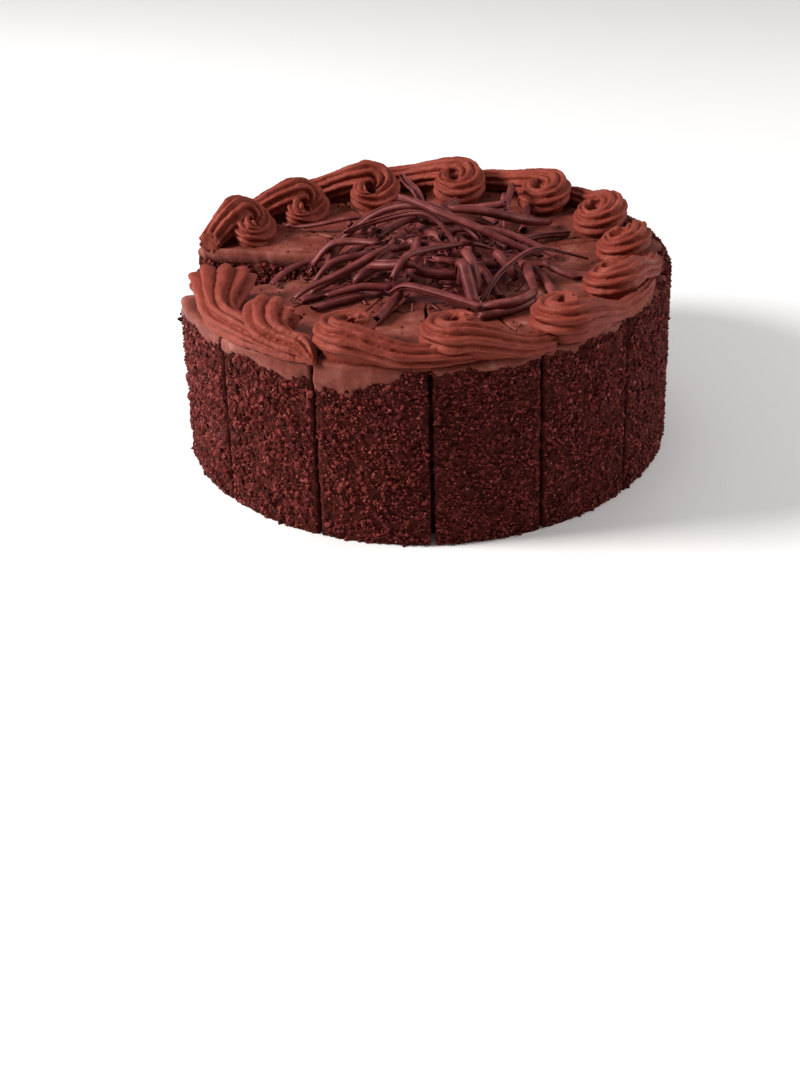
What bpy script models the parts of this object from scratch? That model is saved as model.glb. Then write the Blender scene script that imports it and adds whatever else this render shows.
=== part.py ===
"""A round chocolate layer cake, cut into fourteen slices with one slice gone.

Metres, +Z up. The origin is on the cake's axis, on the plane that it stands on, and the front is at -Y.
Angles are read from the front, anticlockwise as seen from above, so +X is at 90 degrees.
"""

import math
import random

import bmesh
import bpy
import numpy as np
from mathutils import Vector, noise

# The cake's body
TOP_RADIUS = 0.127
FOOT_RADIUS = 0.130
HEIGHT = 0.0912
LEAN_X = 0.0205
LEAN_Y = -0.0181
GAP = 0.0003

# The cuts, with the missing slice between the last cut of the list and the first of the next turn
CUTS = (285.0, 310.5, 336.0, 361.0, 385.0, 409.4, 435.2, 461.0, 486.8, 512.5, 538.8, 565.0, 590.5, 615.0)
HUB_RADIUS = 0.008
SLOT_HALF_HUB = 0.0005
SLOT_HALF_RIM = 0.0011
ARC_STEPS = 5

# The layers from the foot up, each to a share of the height under the icing
LAYERS = (
    ("sponge_bottom", 0.235),
    ("filling_lower", 0.345),
    ("sponge_middle", 0.555),
    ("filling_upper", 0.650),
    ("sponge_top", 0.918),
)
SPONGE_RADIUS = 0.1217

# The icing on the top and round the side
SHOULDER = 0.0035
SHOULDER_TURNS = (30, 60, 90)
ICING_COLUMNS = 72
SIDE_ROWS = 5
SIDE_RELIEF = 0.0010
SIDE_GRAIN = 90.0
TOP_RINGS = (0.090, 0.045)
BEYOND_RIM = 0.145
BELOW_FOOT = -0.010
OVER_TOP = 0.120
SHARP_EDGE = math.radians(50)

# The piped swirls: angle and distance of each head's centre, how far before it the last one ends, its size,
# how far its coil leans to the cake's middle, how far out its tail's edge lies, and the tail's rope and rise
HEADS = (
    (291.5, 0.1085, 2.0, 1.08, 12, 0.1285, 0.0082, 0.35),
    (320.5, 0.1100, 10.0, 1.02, 10, 0.1290, 0.0080, 0.25),
    (342.5, 0.1105, 9.5, 1.00, 10, 0.1285, 0.0064, 0.45),
    (367.5, 0.1105, 9.5, 1.00, 10, 0.1285, 0.0052, 0.35),
    (394.5, 0.1115, 9.5, 1.00, 12, 0.1280, 0.0062, 0.40),
    (420.0, 0.1055, 9.0, 0.94, 25, 0.1225, 0.0055, 0.50),
    (446.0, 0.1015, 9.0, 0.90, 30, 0.1205, 0.0055, 0.60),
    (470.0, 0.0995, 9.5, 0.96, 30, 0.1215, 0.0060, 0.70),
    (497.0, 0.0970, 9.5, 0.98, 25, 0.1230, 0.0064, 0.75),
    (528.5, 0.0945, 10.5, 1.04, 28, 0.1245, 0.0070, 0.85),
    (558.0, 0.0970, 10.5, 1.08, 48, 0.1245, 0.0070, 0.85),
    (583.0, 0.1000, 9.5, 1.05, 58, 0.1245, 0.0066, 0.75),
    (606.0, 0.1040, 9.0, 1.10, 50, 0.1255, 0.0060, 0.60),
)
HEAD_TOP = 0.0212
HEAD_SIT = 0.0080
COIL_TURN = (math.radians(30), math.radians(-270))
COIL_START = (0.0018, 0.0068)
COIL_END = (0.0100, 0.0085)
COIL_RISE = 0.0032
COIL_GROWTH = 1.8
COIL_STEPS = 8
TAIL_FALL = 0.8
TAIL_STEPS = 5
PAST_END = math.radians(2.3)

# The first two swirls start as broad fans: angle and distance of the fan's middle, half its width, its height,
# and how slowly it turns to the rim
FANS = (
    (289.5, 0.1050, 0.0165, 0.0100, 1.15),
    (319.0, 0.1060, 0.0155, 0.0095, 1.60),
)
FAN_ROPE = 0.0085
FAN_NARROWS = 1.5
FAN_TURNED = 0.55
FAN_STEPS = 12
SWIRL_CELL = 0.0009
SWIRL_TRIANGLES = 470
RIDGES = 6
RIDGE_DEPTH = 0.20
SWIRL_TOP = 0.040
SWIRL_FLOOR = (0.060, BEYOND_RIM)

# The heap of chocolate curls
CORE_EDGE = 0.054
CORE_NOTCH = 0.017
CORE_RIM = 0.0015
CORE_CROWN = 0.0075
CORE_ROUND = 0.8
CORE_COLUMNS = 24
CORE_RINGS = (1.0, 0.72, 0.36)
GAP_MIDDLE = 270.0
NOTCH_WIDTH = 30.0
EDGE_WAVES = ((3, 0.003, 0.0), (5, 0.002, 1.0))

# How the curls lie: a curl sinks a little into those under it, and its radius is drawn in at its ends
CURL_GIRTH = 1.2
CURL_SIDES = 5
CURL_STEPS = 5
CURL_SINK = 0.0009
CURL_FLOOR = GAP * 1.5
CURL_ENDS = 0.72
CUT_END = (0.8, 1.0)
CUT_SEED = 14
PATH_POINTS = 25
MARKS_PER_METRE = 2000
HALF_WIDTH = 0.7
PILE_SHARE = 0.8
LIFT_FADE = 1.5
SMOOTHINGS = 2
FIELD_CELL = 0.002
FIELD_HALF = 0.100
GOLDEN_ANGLE = math.pi * (3 - math.sqrt(5))

# Short curls at the bottom of the heap, spread by rule
FILLERS = 16
FILLER_REACH = 0.046
FILLER_LENGTH = (0.018, 0.036)
FILLER_RADIUS = (0.0018, 0.0028)
FILLER_BOW = 3.0
FILLER_SEED = 14

# Each curl in millimetres: where it starts and ends, how far it bows, its radius, and how far its start is lifted
CURLS = (
    (18, -38, 27, -48, -2, 2.6, 0),
    (28, -30, 37, -58, 0, 2.4, 0),
    (36, -22, 46, -35, -1, 2.6, 0),
    (49, -20, 54, -56, 0, 2.8, 0),
    (57, -25, 64, -60, 0, 2.4, 0),
    (-60, -51, -39, -37, 0, 2.0, 0),
    (-56, -42, -7, -8, 1, 2.3, 0),
    (-64, -49, -17, -21, -3, 2.1, 0),
    (-38, 26, -40, 56, 1, 1.8, 0),
    (-73, 54, -15, 73, -15, 1.7, 0),
    (20, 68, -6, 46, 1, 2.7, 5),
    (46, 69, 39, 34, 1, 2.4, 8),
    (51, 69, 44, 31, 0, 2.0, 6),
    (59, 63, 54, 32, 0, 2.2, 4),
    (14, 48, 45, 38, -3, 2.3, 0),
    (-55, -29, -20, -7, 1, 1.9, 0),
    (-53, -61, -30, -48, 1, 1.9, 0),
    (-48, -48, -16, -45, 2, 2.1, 0),
    (-26, -35, -4, -46, -2, 2.4, 0),
    (-23, -79, -11, -51, 0, 2.4, 0),
    (21, -25, 27, -54, -2, 2.6, 0),
    (18, -48, 24, -66, 0, 2.9, 0),
    (26, -78, 53, -62, -3, 2.0, 0),
    (59, -19, 77, -38, -3, 1.9, 0),
    (-58, -11, -23, -18, 6, 2.9, 0),
    (2, 13, 41, 18, 1, 2.8, 0),
    (15, 20, 69, 41, -11, 2.7, 0),
    (-14, -51, 27, -79, 1, 2.9, 0),
    (26, -71, 53, -61, -7, 2.4, 0),
    (48, 8, 77, 23, 4, 2.0, 0),
    (-76, -28, -41, 8, 8, 2.3, 0),
    (9, 0, 69, -9, 12, 2.1, 0),
    (-11, 81, 3, 10, -1, 2.3, 17),
    (-40, 6, 17, -8, 12, 2.2, 0),
    (-15, -52, 34, -8, 3, 2.4, 0),
    (-51, 12, 29, -16, 14, 2.3, 0),
    (-12, 14, 59, -23, -8, 2.3, 0),
    (29, -60, 84, -12, 8, 1.8, 0),
)

COLOURS = {
    "sponge": ((0.040, 0.010, 0.007), 0.95),
    "filling": ((0.110, 0.026, 0.018), 0.60),
    "icing": ((0.130, 0.032, 0.022), 0.55),
    "swirl": ((0.120, 0.025, 0.016), 0.50),
    "curls": ((0.075, 0.018, 0.014), 0.35),
}


def clear_scene():
    for old in list(bpy.data.objects):
        bpy.data.objects.remove(old, do_unlink=True)


def outward(angle):
    return Vector((math.sin(angle), -math.cos(angle), 0.0))


def along(angle):
    return Vector((math.cos(angle), math.sin(angle), 0.0))


def top_at(x, y):
    return HEIGHT + LEAN_X * x + LEAN_Y * y


def material(name):
    colour, roughness = COLOURS[name]
    made = bpy.data.materials.new(name)
    made.use_nodes = True
    shader = made.node_tree.nodes["Principled BSDF"]
    shader.inputs["Base Color"].default_value = (*colour, 1.0)
    shader.inputs["Roughness"].default_value = roughness
    return made


def new_object(name, points, faces, finish):
    mesh = bpy.data.meshes.new(name)
    mesh.from_pydata([tuple(p) for p in points], [], faces)
    shape = bmesh.new()
    shape.from_mesh(mesh)
    bmesh.ops.recalc_face_normals(shape, faces=shape.faces)
    shape.to_mesh(mesh)
    shape.free()
    mesh.materials.append(finish)
    made = bpy.data.objects.new(name, mesh)
    bpy.context.scene.collection.objects.link(made)
    return made


def shade_round(shape):
    shape.data.shade_smooth()
    shape.data.set_sharp_from_angle(angle=SHARP_EDGE)


def prism(name, outline, floor, ceiling, finish):
    """A flat outline raised between two surfaces, each a function of x and y."""
    count = len(outline)
    points = [(x, y, floor(x, y)) for x, y in outline]
    points += [(x, y, ceiling(x, y)) for x, y in outline]
    faces = [tuple(range(count)), tuple(range(count, 2 * count))]
    for i in range(count):
        j = (i + 1) % count
        faces.append((i, j, j + count, i + count))
    return new_object(name, points, faces, finish)


def slot_half(radius):
    share = (radius - HUB_RADIUS) / (TOP_RADIUS - HUB_RADIUS)
    return SLOT_HALF_HUB + (SLOT_HALF_RIM - SLOT_HALF_HUB) * share


def beside_cut(cut, radius, side):
    """The point at one side of a cut's slot, at a distance from the axis along the cut."""
    angle = math.radians(cut)
    point = outward(angle) * radius + along(angle) * side * slot_half(radius)
    return point.x, point.y


def kept_outline(radius):
    """The cake seen from above: a round with a slot at each cut and the missing slice left out."""
    outline = []
    for start, end in zip(CUTS, CUTS[1:]):
        first = math.radians(start) + slot_half(radius) / radius
        last = math.radians(end) - slot_half(radius) / radius
        outline.append(beside_cut(start, HUB_RADIUS, 1))
        for step in range(ARC_STEPS + 1):
            point = outward(first + (last - first) * step / ARC_STEPS) * radius
            outline.append((point.x, point.y))
        outline.append(beside_cut(end, HUB_RADIUS, -1))
    return outline


def make_layer(name, low, high, finish):
    foot = 0.0 if low == 0.0 else GAP / 2

    def floor(x, y):
        return low * top_at(x, y) + foot

    def ceiling(x, y):
        return high * top_at(x, y) - GAP / 2

    return prism(name, kept_outline(SPONGE_RADIUS), floor, ceiling, finish)


def join_rings(faces, low, high):
    for column in range(ICING_COLUMNS):
        following = (column + 1) % ICING_COLUMNS
        a = low * ICING_COLUMNS
        b = high * ICING_COLUMNS
        faces.append((a + column, a + following, b + following, b + column))


def icing_rings():
    """Rings of the icing's outer skin, from the foot to near the axis: radius and how the height is found."""
    rings = []
    for row in range(SIDE_ROWS + 1):
        share = row / SIDE_ROWS
        rings.append((FOOT_RADIUS + (TOP_RADIUS - FOOT_RADIUS) * share, share, -SHOULDER * share, row > 0))
    for turn in SHOULDER_TURNS:
        angle = math.radians(turn)
        radius = TOP_RADIUS - SHOULDER * (1 - math.cos(angle))
        rings.append((radius, 1.0, -SHOULDER * (1 - math.sin(angle)), False))
    for radius in TOP_RINGS:
        rings.append((radius, 1.0, 0.0, False))
    return rings


def make_icing(finish):
    """The top icing and the coat round the side as one shell, cut by the same slots as the layers."""
    points = []
    faces = []
    rings = icing_rings()
    inside = SPONGE_RADIUS + GAP
    under = LAYERS[-1][1]
    for radius, share, drop, rough in rings:
        for column in range(ICING_COLUMNS):
            direction = outward(math.tau * column / ICING_COLUMNS)
            place = direction * radius
            height = share * top_at(place.x, place.y) + drop
            if rough:
                bump = noise.noise(Vector((place.x, place.y, height)) * SIDE_GRAIN)
                place += direction * bump * SIDE_RELIEF
            points.append((place.x, place.y, height))
    for share, lift in ((under, GAP / 2), (0.0, 0.0)):
        for column in range(ICING_COLUMNS):
            place = outward(math.tau * column / ICING_COLUMNS) * inside
            points.append((place.x, place.y, share * top_at(place.x, place.y) + lift))
    count = len(rings)
    for ring in range(count - 1):
        join_rings(faces, ring, ring + 1)
    join_rings(faces, count, count + 1)
    join_rings(faces, count + 1, 0)
    top_centre = len(points)
    points.append((0.0, 0.0, HEIGHT))
    under_centre = len(points)
    points.append((0.0, 0.0, under * HEIGHT + GAP / 2))
    for column in range(ICING_COLUMNS):
        following = (column + 1) % ICING_COLUMNS
        last = (count - 1) * ICING_COLUMNS
        roof = count * ICING_COLUMNS
        faces.append((last + column, last + following, top_centre))
        faces.append((roof + following, roof + column, under_centre))
    icing = new_object("icing", points, faces, finish)
    keeper = prism(
        "icing_cutter",
        kept_outline(BEYOND_RIM),
        lambda x, y: BELOW_FOOT,
        lambda x, y: OVER_TOP,
        finish,
    )
    cut_to(icing, keeper)
    shade_round(icing)
    return icing


def cut_to(shape, keeper):
    """Keeps what lies inside the keeper, applies the cut and removes the keeper."""
    cut = shape.modifiers.new("kept part", "BOOLEAN")
    cut.operation = "INTERSECT"
    cut.object = keeper
    apply_modifiers(shape)
    bpy.data.objects.remove(keeper, do_unlink=True)


def join_all(shape, others):
    """Joins closed pieces that cross one another to the shape, and removes them."""
    group = bpy.data.collections.new("joined")
    for other in others:
        group.objects.link(other)
    join = shape.modifiers.new("joined", "BOOLEAN")
    join.operation = "UNION"
    join.operand_type = "COLLECTION"
    join.collection = group
    join.solver = "MANIFOLD"
    apply_modifiers(shape)
    for other in others:
        bpy.data.objects.remove(other, do_unlink=True)
    bpy.data.collections.remove(group)


def apply_modifiers(shape):
    bpy.context.view_layer.update()
    graph = bpy.context.evaluated_depsgraph_get()
    made = bpy.data.meshes.new_from_object(shape.evaluated_get(graph), depsgraph=graph)
    shape.modifiers.clear()
    shape.data = made


def largest_piece(shape):
    """Drops loose scraps, so that one closed body is left."""
    work = bmesh.new()
    work.from_mesh(shape.data)
    unseen = set(work.verts)
    pieces = []
    while unseen:
        piece = set()
        edge = [unseen.pop()]
        while edge:
            vertex = edge.pop()
            piece.add(vertex)
            for link in vertex.link_edges:
                other = link.other_vert(vertex)
                if other in unseen:
                    unseen.remove(other)
                    edge.append(other)
        pieces.append(piece)
    pieces.sort(key=len, reverse=True)
    loose = [vertex for piece in pieces[1:] for vertex in piece]
    bmesh.ops.delete(work, geom=loose, context="VERTS")
    work.to_mesh(shape.data)
    work.free()


def tube(places, radii, widths, sides, depth):
    """A closed tube along a path, each width a share of its radius. Every other point is in by the depth."""
    verts = []
    faces = []
    up = Vector((0, 0, 1))
    for i, place in enumerate(places):
        before = places[max(i - 1, 0)]
        after = places[min(i + 1, len(places) - 1)]
        heading = (after - before).normalized()
        up = (up - heading * up.dot(heading)).normalized()
        side = heading.cross(up)
        for k in range(sides):
            angle = math.tau * k / sides
            reach = radii[i] * (1 - depth * (k % 2))
            verts.append(place + side * reach * widths[i] * math.cos(angle) + up * reach * math.sin(angle))
    for i in range(len(places) - 1):
        for k in range(sides):
            j = (k + 1) % sides
            a = i * sides
            b = a + sides
            faces.append((a + k, a + j, b + j, b + k))
    faces.append(tuple(range(sides)))
    faces.append(tuple(range(len(verts) - sides, len(verts))))
    return verts, faces


def between(start, end, share):
    return start + (end - start) * share


def swirl_coil(head, distance, size, lean):
    """Places and rope radii round a swirl's head, from the button at its middle to where its tail leaves."""
    climb = outward(head) * math.cos(lean) + Vector((0, 0, 1)) * math.sin(lean)
    face = Vector((0, 0, 1)) * math.cos(lean) - outward(head) * math.sin(lean)
    centre = outward(head) * distance
    height = min(HEAD_TOP - COIL_END[0] * math.sin(lean) - COIL_END[1], HEAD_SIT) * size
    centre.z = top_at(centre.x, centre.y) + height
    places = []
    radii = []
    for step in range(COIL_STEPS + 1):
        share = step / COIL_STEPS
        grown = 1 - (1 - share) ** COIL_GROWTH
        turn = between(COIL_TURN[0], COIL_TURN[1], share)
        reach = between(COIL_START[0], COIL_END[0], grown) * size
        offset = (along(head) * math.cos(turn) + climb * math.sin(turn)) * reach
        places.append(centre + offset + face * (COIL_RISE * size * (1 - grown)))
        radii.append(between(COIL_START[1], COIL_END[1], grown) * size)
    return places, radii


def fan_path(index):
    """Places, rope radii and widths along a swirl that starts as a fan over the rim and narrows to its tail."""
    angle, distance, half, height, delay = FANS[index]
    edge, thin, rise = HEADS[index][5:]
    start = math.radians(angle)
    end = swirl_end(index) + PAST_END
    places = []
    radii = []
    widths = []
    for step in range(FAN_STEPS + 1):
        share = step / FAN_STEPS
        ease = share * share * (3 - 2 * share)
        rope = between(FAN_ROPE, thin, ease)
        wide = between(1.0, half / FAN_ROPE, (1 - ease) ** FAN_NARROWS)
        out = 1 - (1 - min(1.0, share / FAN_TURNED)) ** 2
        place = outward(between(start, end, share**delay)) * between(distance, edge - rope * wide, out)
        place.z = top_at(place.x, place.y) + between(height, thin * rise, ease)
        places.append(place)
        radii.append(rope)
        widths.append(wide)
    return places, radii, widths


def coil_path(index):
    """Places, rope radii and widths along a swirl that starts as a coil, to a little past its end."""
    angle, distance, _, size, lean, edge, rope, rise = HEADS[index]
    head = math.radians(angle)
    end = swirl_end(index) + PAST_END
    places, radii = swirl_coil(head, distance, size, math.radians(lean))
    leaving = places[-1]
    far = math.hypot(leaving.x, leaving.y)
    high = leaving.z - top_at(leaving.x, leaving.y)
    for step in range(1, TAIL_STEPS + 1):
        share = step / TAIL_STEPS
        ease = share * share * (3 - 2 * share)
        place = outward(between(head, end, share)) * between(far, edge - rope, ease)
        place.z = top_at(place.x, place.y) + between(high, rope * rise, ease)
        places.append(place)
        radii.append(between(COIL_END[1] * size, rope, share**TAIL_FALL))
    return places, radii, [1.0] * len(places)


def thin_out(shape, cell, triangles):
    """Makes shapes that run through one another one skin, and then keeps about this many triangles."""
    skin = shape.modifiers.new("one skin", "REMESH")
    skin.mode = "VOXEL"
    skin.voxel_size = cell
    apply_modifiers(shape)
    fewer = shape.modifiers.new("fewer faces", "DECIMATE")
    fewer.ratio = triangles / (2 * len(shape.data.polygons))
    apply_modifiers(shape)


def swirl_end(index):
    """The angle at which a swirl gives way to the next, or to the cut after the last of them."""
    if index + 1 == len(HEADS):
        return math.radians(CUTS[-1])
    head, _, before = HEADS[index + 1][:3]
    return math.radians(head - before)


def swirl_limit(index, radius, side):
    """A point on the plane where one swirl gives way to the next, at a distance from the axis."""
    if index == 0:
        return beside_cut(CUTS[0], radius, side)
    if index == len(HEADS):
        return beside_cut(CUTS[-1], radius, side)
    angle = swirl_end(index - 1)
    point = outward(angle) * radius + along(angle) * side * GAP
    return point.x, point.y


def make_swirl(name, index, finish):
    """One piped swirl: a head and a tail along the rim that ends where the next swirl starts."""
    path = fan_path(index) if index < len(FANS) else coil_path(index)
    verts, faces = tube(*path, 2 * RIDGES, RIDGE_DEPTH)
    swirl = new_object(name, verts, faces, finish)
    thin_out(swirl, SWIRL_CELL, SWIRL_TRIANGLES)
    near, far = SWIRL_FLOOR
    outline = [
        swirl_limit(index, near, 1),
        swirl_limit(index, far, 1),
        swirl_limit(index + 1, far, -1),
        swirl_limit(index + 1, near, -1),
    ]
    keeper = prism(
        name + "_cutter",
        outline,
        lambda x, y: top_at(x, y) + GAP,
        lambda x, y: top_at(x, y) + SWIRL_TOP,
        finish,
    )
    cut_to(swirl, keeper)
    largest_piece(swirl)
    shade_round(swirl)
    return swirl


def core_edge(angle):
    """How far the heap's core reaches: an uneven round, drawn in where the slice is missing."""
    away = math.degrees(angle) % 360 - GAP_MIDDLE
    edge = CORE_EDGE - CORE_NOTCH * math.exp(-((away / NOTCH_WIDTH) ** 2))
    for count, depth, start in EDGE_WAVES:
        edge += depth * math.sin(count * angle + start)
    return edge


def crown(share):
    """Height of the core's top over the icing at a share of the way from its middle to its edge."""
    return CORE_RIM + CORE_CROWN * (1 - share * share) ** CORE_ROUND


def core_height(x, y):
    """Height of the core's top over the icing, and zero beyond its edge."""
    share = math.hypot(x, y) / core_edge(math.atan2(x, -y))
    return crown(share) if share <= 1 else 0.0


def make_core(finish):
    points = []
    faces = []
    for flat in (True, False):
        for share in CORE_RINGS:
            for column in range(CORE_COLUMNS):
                angle = math.tau * column / CORE_COLUMNS
                place = outward(angle) * core_edge(angle) * share
                lift = 0.0 if flat else crown(share)
                points.append((place.x, place.y, top_at(place.x, place.y) + GAP + lift))
    rings = len(CORE_RINGS)
    for ring in range(2 * rings - 1):
        if ring == rings - 1:
            continue
        for column in range(CORE_COLUMNS):
            following = (column + 1) % CORE_COLUMNS
            a = ring * CORE_COLUMNS
            b = a + CORE_COLUMNS
            faces.append((a + column, a + following, b + following, b + column))
    for column in range(CORE_COLUMNS):
        following = (column + 1) % CORE_COLUMNS
        top = rings * CORE_COLUMNS
        faces.append((column, following, top + following, top + column))
    for ring, lift in ((rings - 1, 0.0), (2 * rings - 1, CORE_RIM + CORE_CROWN)):
        centre = len(points)
        points.append((0.0, 0.0, HEIGHT + GAP + lift))
        for column in range(CORE_COLUMNS):
            following = (column + 1) % CORE_COLUMNS
            faces.append((ring * CORE_COLUMNS + column, ring * CORE_COLUMNS + following, centre))
    return new_object("shavings", points, faces, finish)


def taut(distances, heights):
    """The lowest line over the heights that never dips between two of them, as a stiff curl lies over others."""
    kept = [0]
    for i in range(1, len(distances)):
        while len(kept) > 1:
            a, b = kept[-2], kept[-1]
            rise = (heights[b] - heights[a]) * (distances[i] - distances[a])
            if rise <= (heights[i] - heights[a]) * (distances[b] - distances[a]):
                kept.pop()
            else:
                break
        kept.append(i)
    line = np.interp(distances, distances[kept], heights[kept])
    for _ in range(SMOOTHINGS):
        line[1:-1] = (line[:-2] + 2 * line[1:-1] + line[2:]) / 4
    return line


def filler_curls():
    """Short curls over the core, turned every way, in the order and units of the curls' table."""
    chance = random.Random(FILLER_SEED)
    rows = []
    for i in range(FILLERS):
        place = outward(i * GOLDEN_ANGLE) * FILLER_REACH * math.sqrt((i + 0.5) / FILLERS)
        half = along(chance.uniform(0, math.pi)) * chance.uniform(*FILLER_LENGTH) / 2
        start = (place - half) * 1000
        end = (place + half) * 1000
        bow = chance.uniform(-FILLER_BOW, FILLER_BOW)
        rows.append((start.x, start.y, end.x, end.y, bow, chance.uniform(*FILLER_RADIUS) * 1000, 0))
    return rows


def lay_curls():
    """Lays the curls one on another, in order, and gives each one's path over the icing and its radius."""
    cells = int(round(2 * FIELD_HALF / FIELD_CELL)) + 1
    line = np.linspace(-FIELD_HALF, FIELD_HALF, cells)
    grid_x, grid_y = np.meshgrid(line, line, indexing="ij")
    field = np.vectorize(core_height)(grid_x, grid_y)
    share = np.linspace(0, 1, PATH_POINTS)
    laid = []
    for row in filler_curls() + list(CURLS):
        x0, y0, x1, y1, bow, radius, lift = (value / 1000 for value in row)
        radius *= CURL_GIRTH
        length = math.hypot(x1 - x0, y1 - y0)
        across = np.array((-(y1 - y0), x1 - x0)) / length
        arc = bow * 4 * share * (1 - share)
        x = x0 + (x1 - x0) * share + across[0] * arc
        y = y0 + (y1 - y0) * share + across[1] * arc
        height = np.full(len(share), radius + CURL_FLOOR)
        for offset in (-HALF_WIDTH * radius, 0.0, HALF_WIDTH * radius):
            i = np.rint((x + across[0] * offset + FIELD_HALF) / FIELD_CELL).astype(int)
            j = np.rint((y + across[1] * offset + FIELD_HALF) / FIELD_CELL).astype(int)
            height = np.maximum(height, field[i, j] + radius - CURL_SINK)
        height = taut(share * length, height) + lift * (1 - share) ** LIFT_FADE
        for here in np.linspace(0, 1, int(length * MARKS_PER_METRE)):
            near_x = np.interp(here, share, x)
            near_y = np.interp(here, share, y)
            under = (grid_x - near_x) ** 2 + (grid_y - near_y) ** 2 < radius**2
            field[under] = np.maximum(field[under], np.interp(here, share, height) + PILE_SHARE * radius)
        laid.append((x, y, height, radius))
    return laid


def make_shavings(finish):
    """The heap: a low core with the curls that show joined to it."""
    core = make_core(finish)
    curls = []
    chance = random.Random(CUT_SEED)
    for x, y, height, radius in lay_curls():
        picks = np.linspace(0, PATH_POINTS - 1, CURL_STEPS + 1).astype(int)
        places = [Vector((x[i], y[i], top_at(x[i], y[i]) + height[i])) for i in picks]
        swell = [math.sqrt(math.sin(math.pi * i / (PATH_POINTS - 1))) for i in picks]
        radii = [radius * between(CURL_ENDS, 1.0, share) for share in swell]
        radii[0] *= chance.uniform(*CUT_END)
        verts, faces = tube(places, radii, [1.0] * len(places), CURL_SIDES, 0.0)
        curls.append(new_object("curl", verts, faces, finish))
    join_all(core, curls)
    largest_piece(core)
    shade_round(core)
    return core


def main():
    clear_scene()
    finishes = {name: material(name) for name in COLOURS}
    low = 0.0
    for name, high in LAYERS:
        make_layer(name, low, high, finishes[name.split("_")[0]])
        low = high
    make_icing(finishes["icing"])
    for index in range(len(HEADS)):
        make_swirl(f"swirl_{index + 1:02d}", index, finishes["swirl"])
    make_shavings(finishes["curls"])


main()
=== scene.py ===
"""The looks of a round dark layer cake with piped swirls, chocolate curls and one slice taken out.

Metres, +Z up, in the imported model's frame: the origin is on the cake's axis, and the front is at -Y.
Angles are read from the front, anticlockwise as seen from above, so +X is at 90 degrees.
"""

import itertools
import math

import bmesh
import bpy
import numpy as np
from mathutils import Matrix, Vector


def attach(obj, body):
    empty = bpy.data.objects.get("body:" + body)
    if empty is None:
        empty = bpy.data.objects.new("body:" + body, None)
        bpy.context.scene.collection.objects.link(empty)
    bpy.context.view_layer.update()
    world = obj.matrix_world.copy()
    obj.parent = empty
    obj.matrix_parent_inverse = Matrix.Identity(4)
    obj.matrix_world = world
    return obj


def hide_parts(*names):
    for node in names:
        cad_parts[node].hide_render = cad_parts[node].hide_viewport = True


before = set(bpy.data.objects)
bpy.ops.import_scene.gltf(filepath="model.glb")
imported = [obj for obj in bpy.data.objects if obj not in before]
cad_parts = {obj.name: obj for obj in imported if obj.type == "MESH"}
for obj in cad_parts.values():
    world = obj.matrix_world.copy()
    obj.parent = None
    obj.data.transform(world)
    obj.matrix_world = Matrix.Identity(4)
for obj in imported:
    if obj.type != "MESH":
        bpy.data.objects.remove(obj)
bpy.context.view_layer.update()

# The cake's body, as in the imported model
TOP_RADIUS = 0.127
FOOT_RADIUS = 0.130
HEIGHT = 0.0912
LEAN_X = 0.0205
LEAN_Y = -0.0181
SPONGE_RADIUS = 0.1217
UNDER_ICING = 0.918
SHOULDER = 0.0035
LAYERS = (
    ("sponge_bottom", 0.0, 0.235),
    ("filling_lower", 0.235, 0.345),
    ("sponge_middle", 0.345, 0.555),
    ("filling_upper", 0.555, 0.650),
    ("sponge_top", 0.650, 0.918),
)

# The cuts, with the missing slice between the last one and the first of the next turn
CUTS = (285.0, 310.5, 336.0, 361.0, 385.0, 409.4, 435.2, 461.0, 486.8, 512.5, 538.8, 565.0, 590.5, 615.0)
HUB_RADIUS = 0.008
SLOT_HALF_HUB = 0.0005
SLOT_HALF_RIM = 0.0011
GAP_MIDDLE = 270.0

# The piped swirls, in degrees and metres: angle and distance of each head's centre, how far before it the
# last one ends, its size, how far its coil leans to the cake's middle, how far out its tail's edge lies,
# the tail's rope and rise, and how far the tail runs on under the next head. The first two have a fan for a
# head, so their distance, size and lean only say where a coil would have been
HEADS = (
    (291.5, 0.1085, 2.0, 1.08, 12, 0.1285, 0.0082, 0.35, 22),
    (320.5, 0.1100, 10.0, 1.02, 10, 0.1290, 0.0080, 0.25, 4),
    (342.5, 0.1105, 9.5, 1.00, 10, 0.1285, 0.0064, 0.45, 19),
    (367.5, 0.1105, 9.5, 1.00, 10, 0.1285, 0.0052, 0.35, 5),
    (394.5, 0.1140, 9.5, 1.02, 12, 0.1265, 0.0050, 0.40, 22),
    (420.0, 0.1055, 9.0, 0.94, 25, 0.1225, 0.0055, 0.50, 9),
    (446.0, 0.1015, 9.0, 0.90, 30, 0.1205, 0.0055, 0.60, 9),
    (470.0, 0.0995, 9.5, 0.96, 30, 0.1215, 0.0060, 0.70, 18),
    (497.0, 0.0970, 9.5, 0.98, 25, 0.1230, 0.0064, 0.75, 18),
    (528.5, 0.0945, 10.5, 1.04, 28, 0.1245, 0.0070, 0.85, 18),
    (558.0, 0.0970, 10.5, 1.08, 48, 0.1245, 0.0070, 0.85, 15),
    (583.0, 0.1000, 9.5, 1.05, 58, 0.1245, 0.0066, 0.75, 12),
    (606.0, 0.1040, 9.0, 1.10, 50, 0.1255, 0.0060, 0.60, 4),
)
HEAD_TOP = 0.0212
HEAD_SIT = 0.0080

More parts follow.
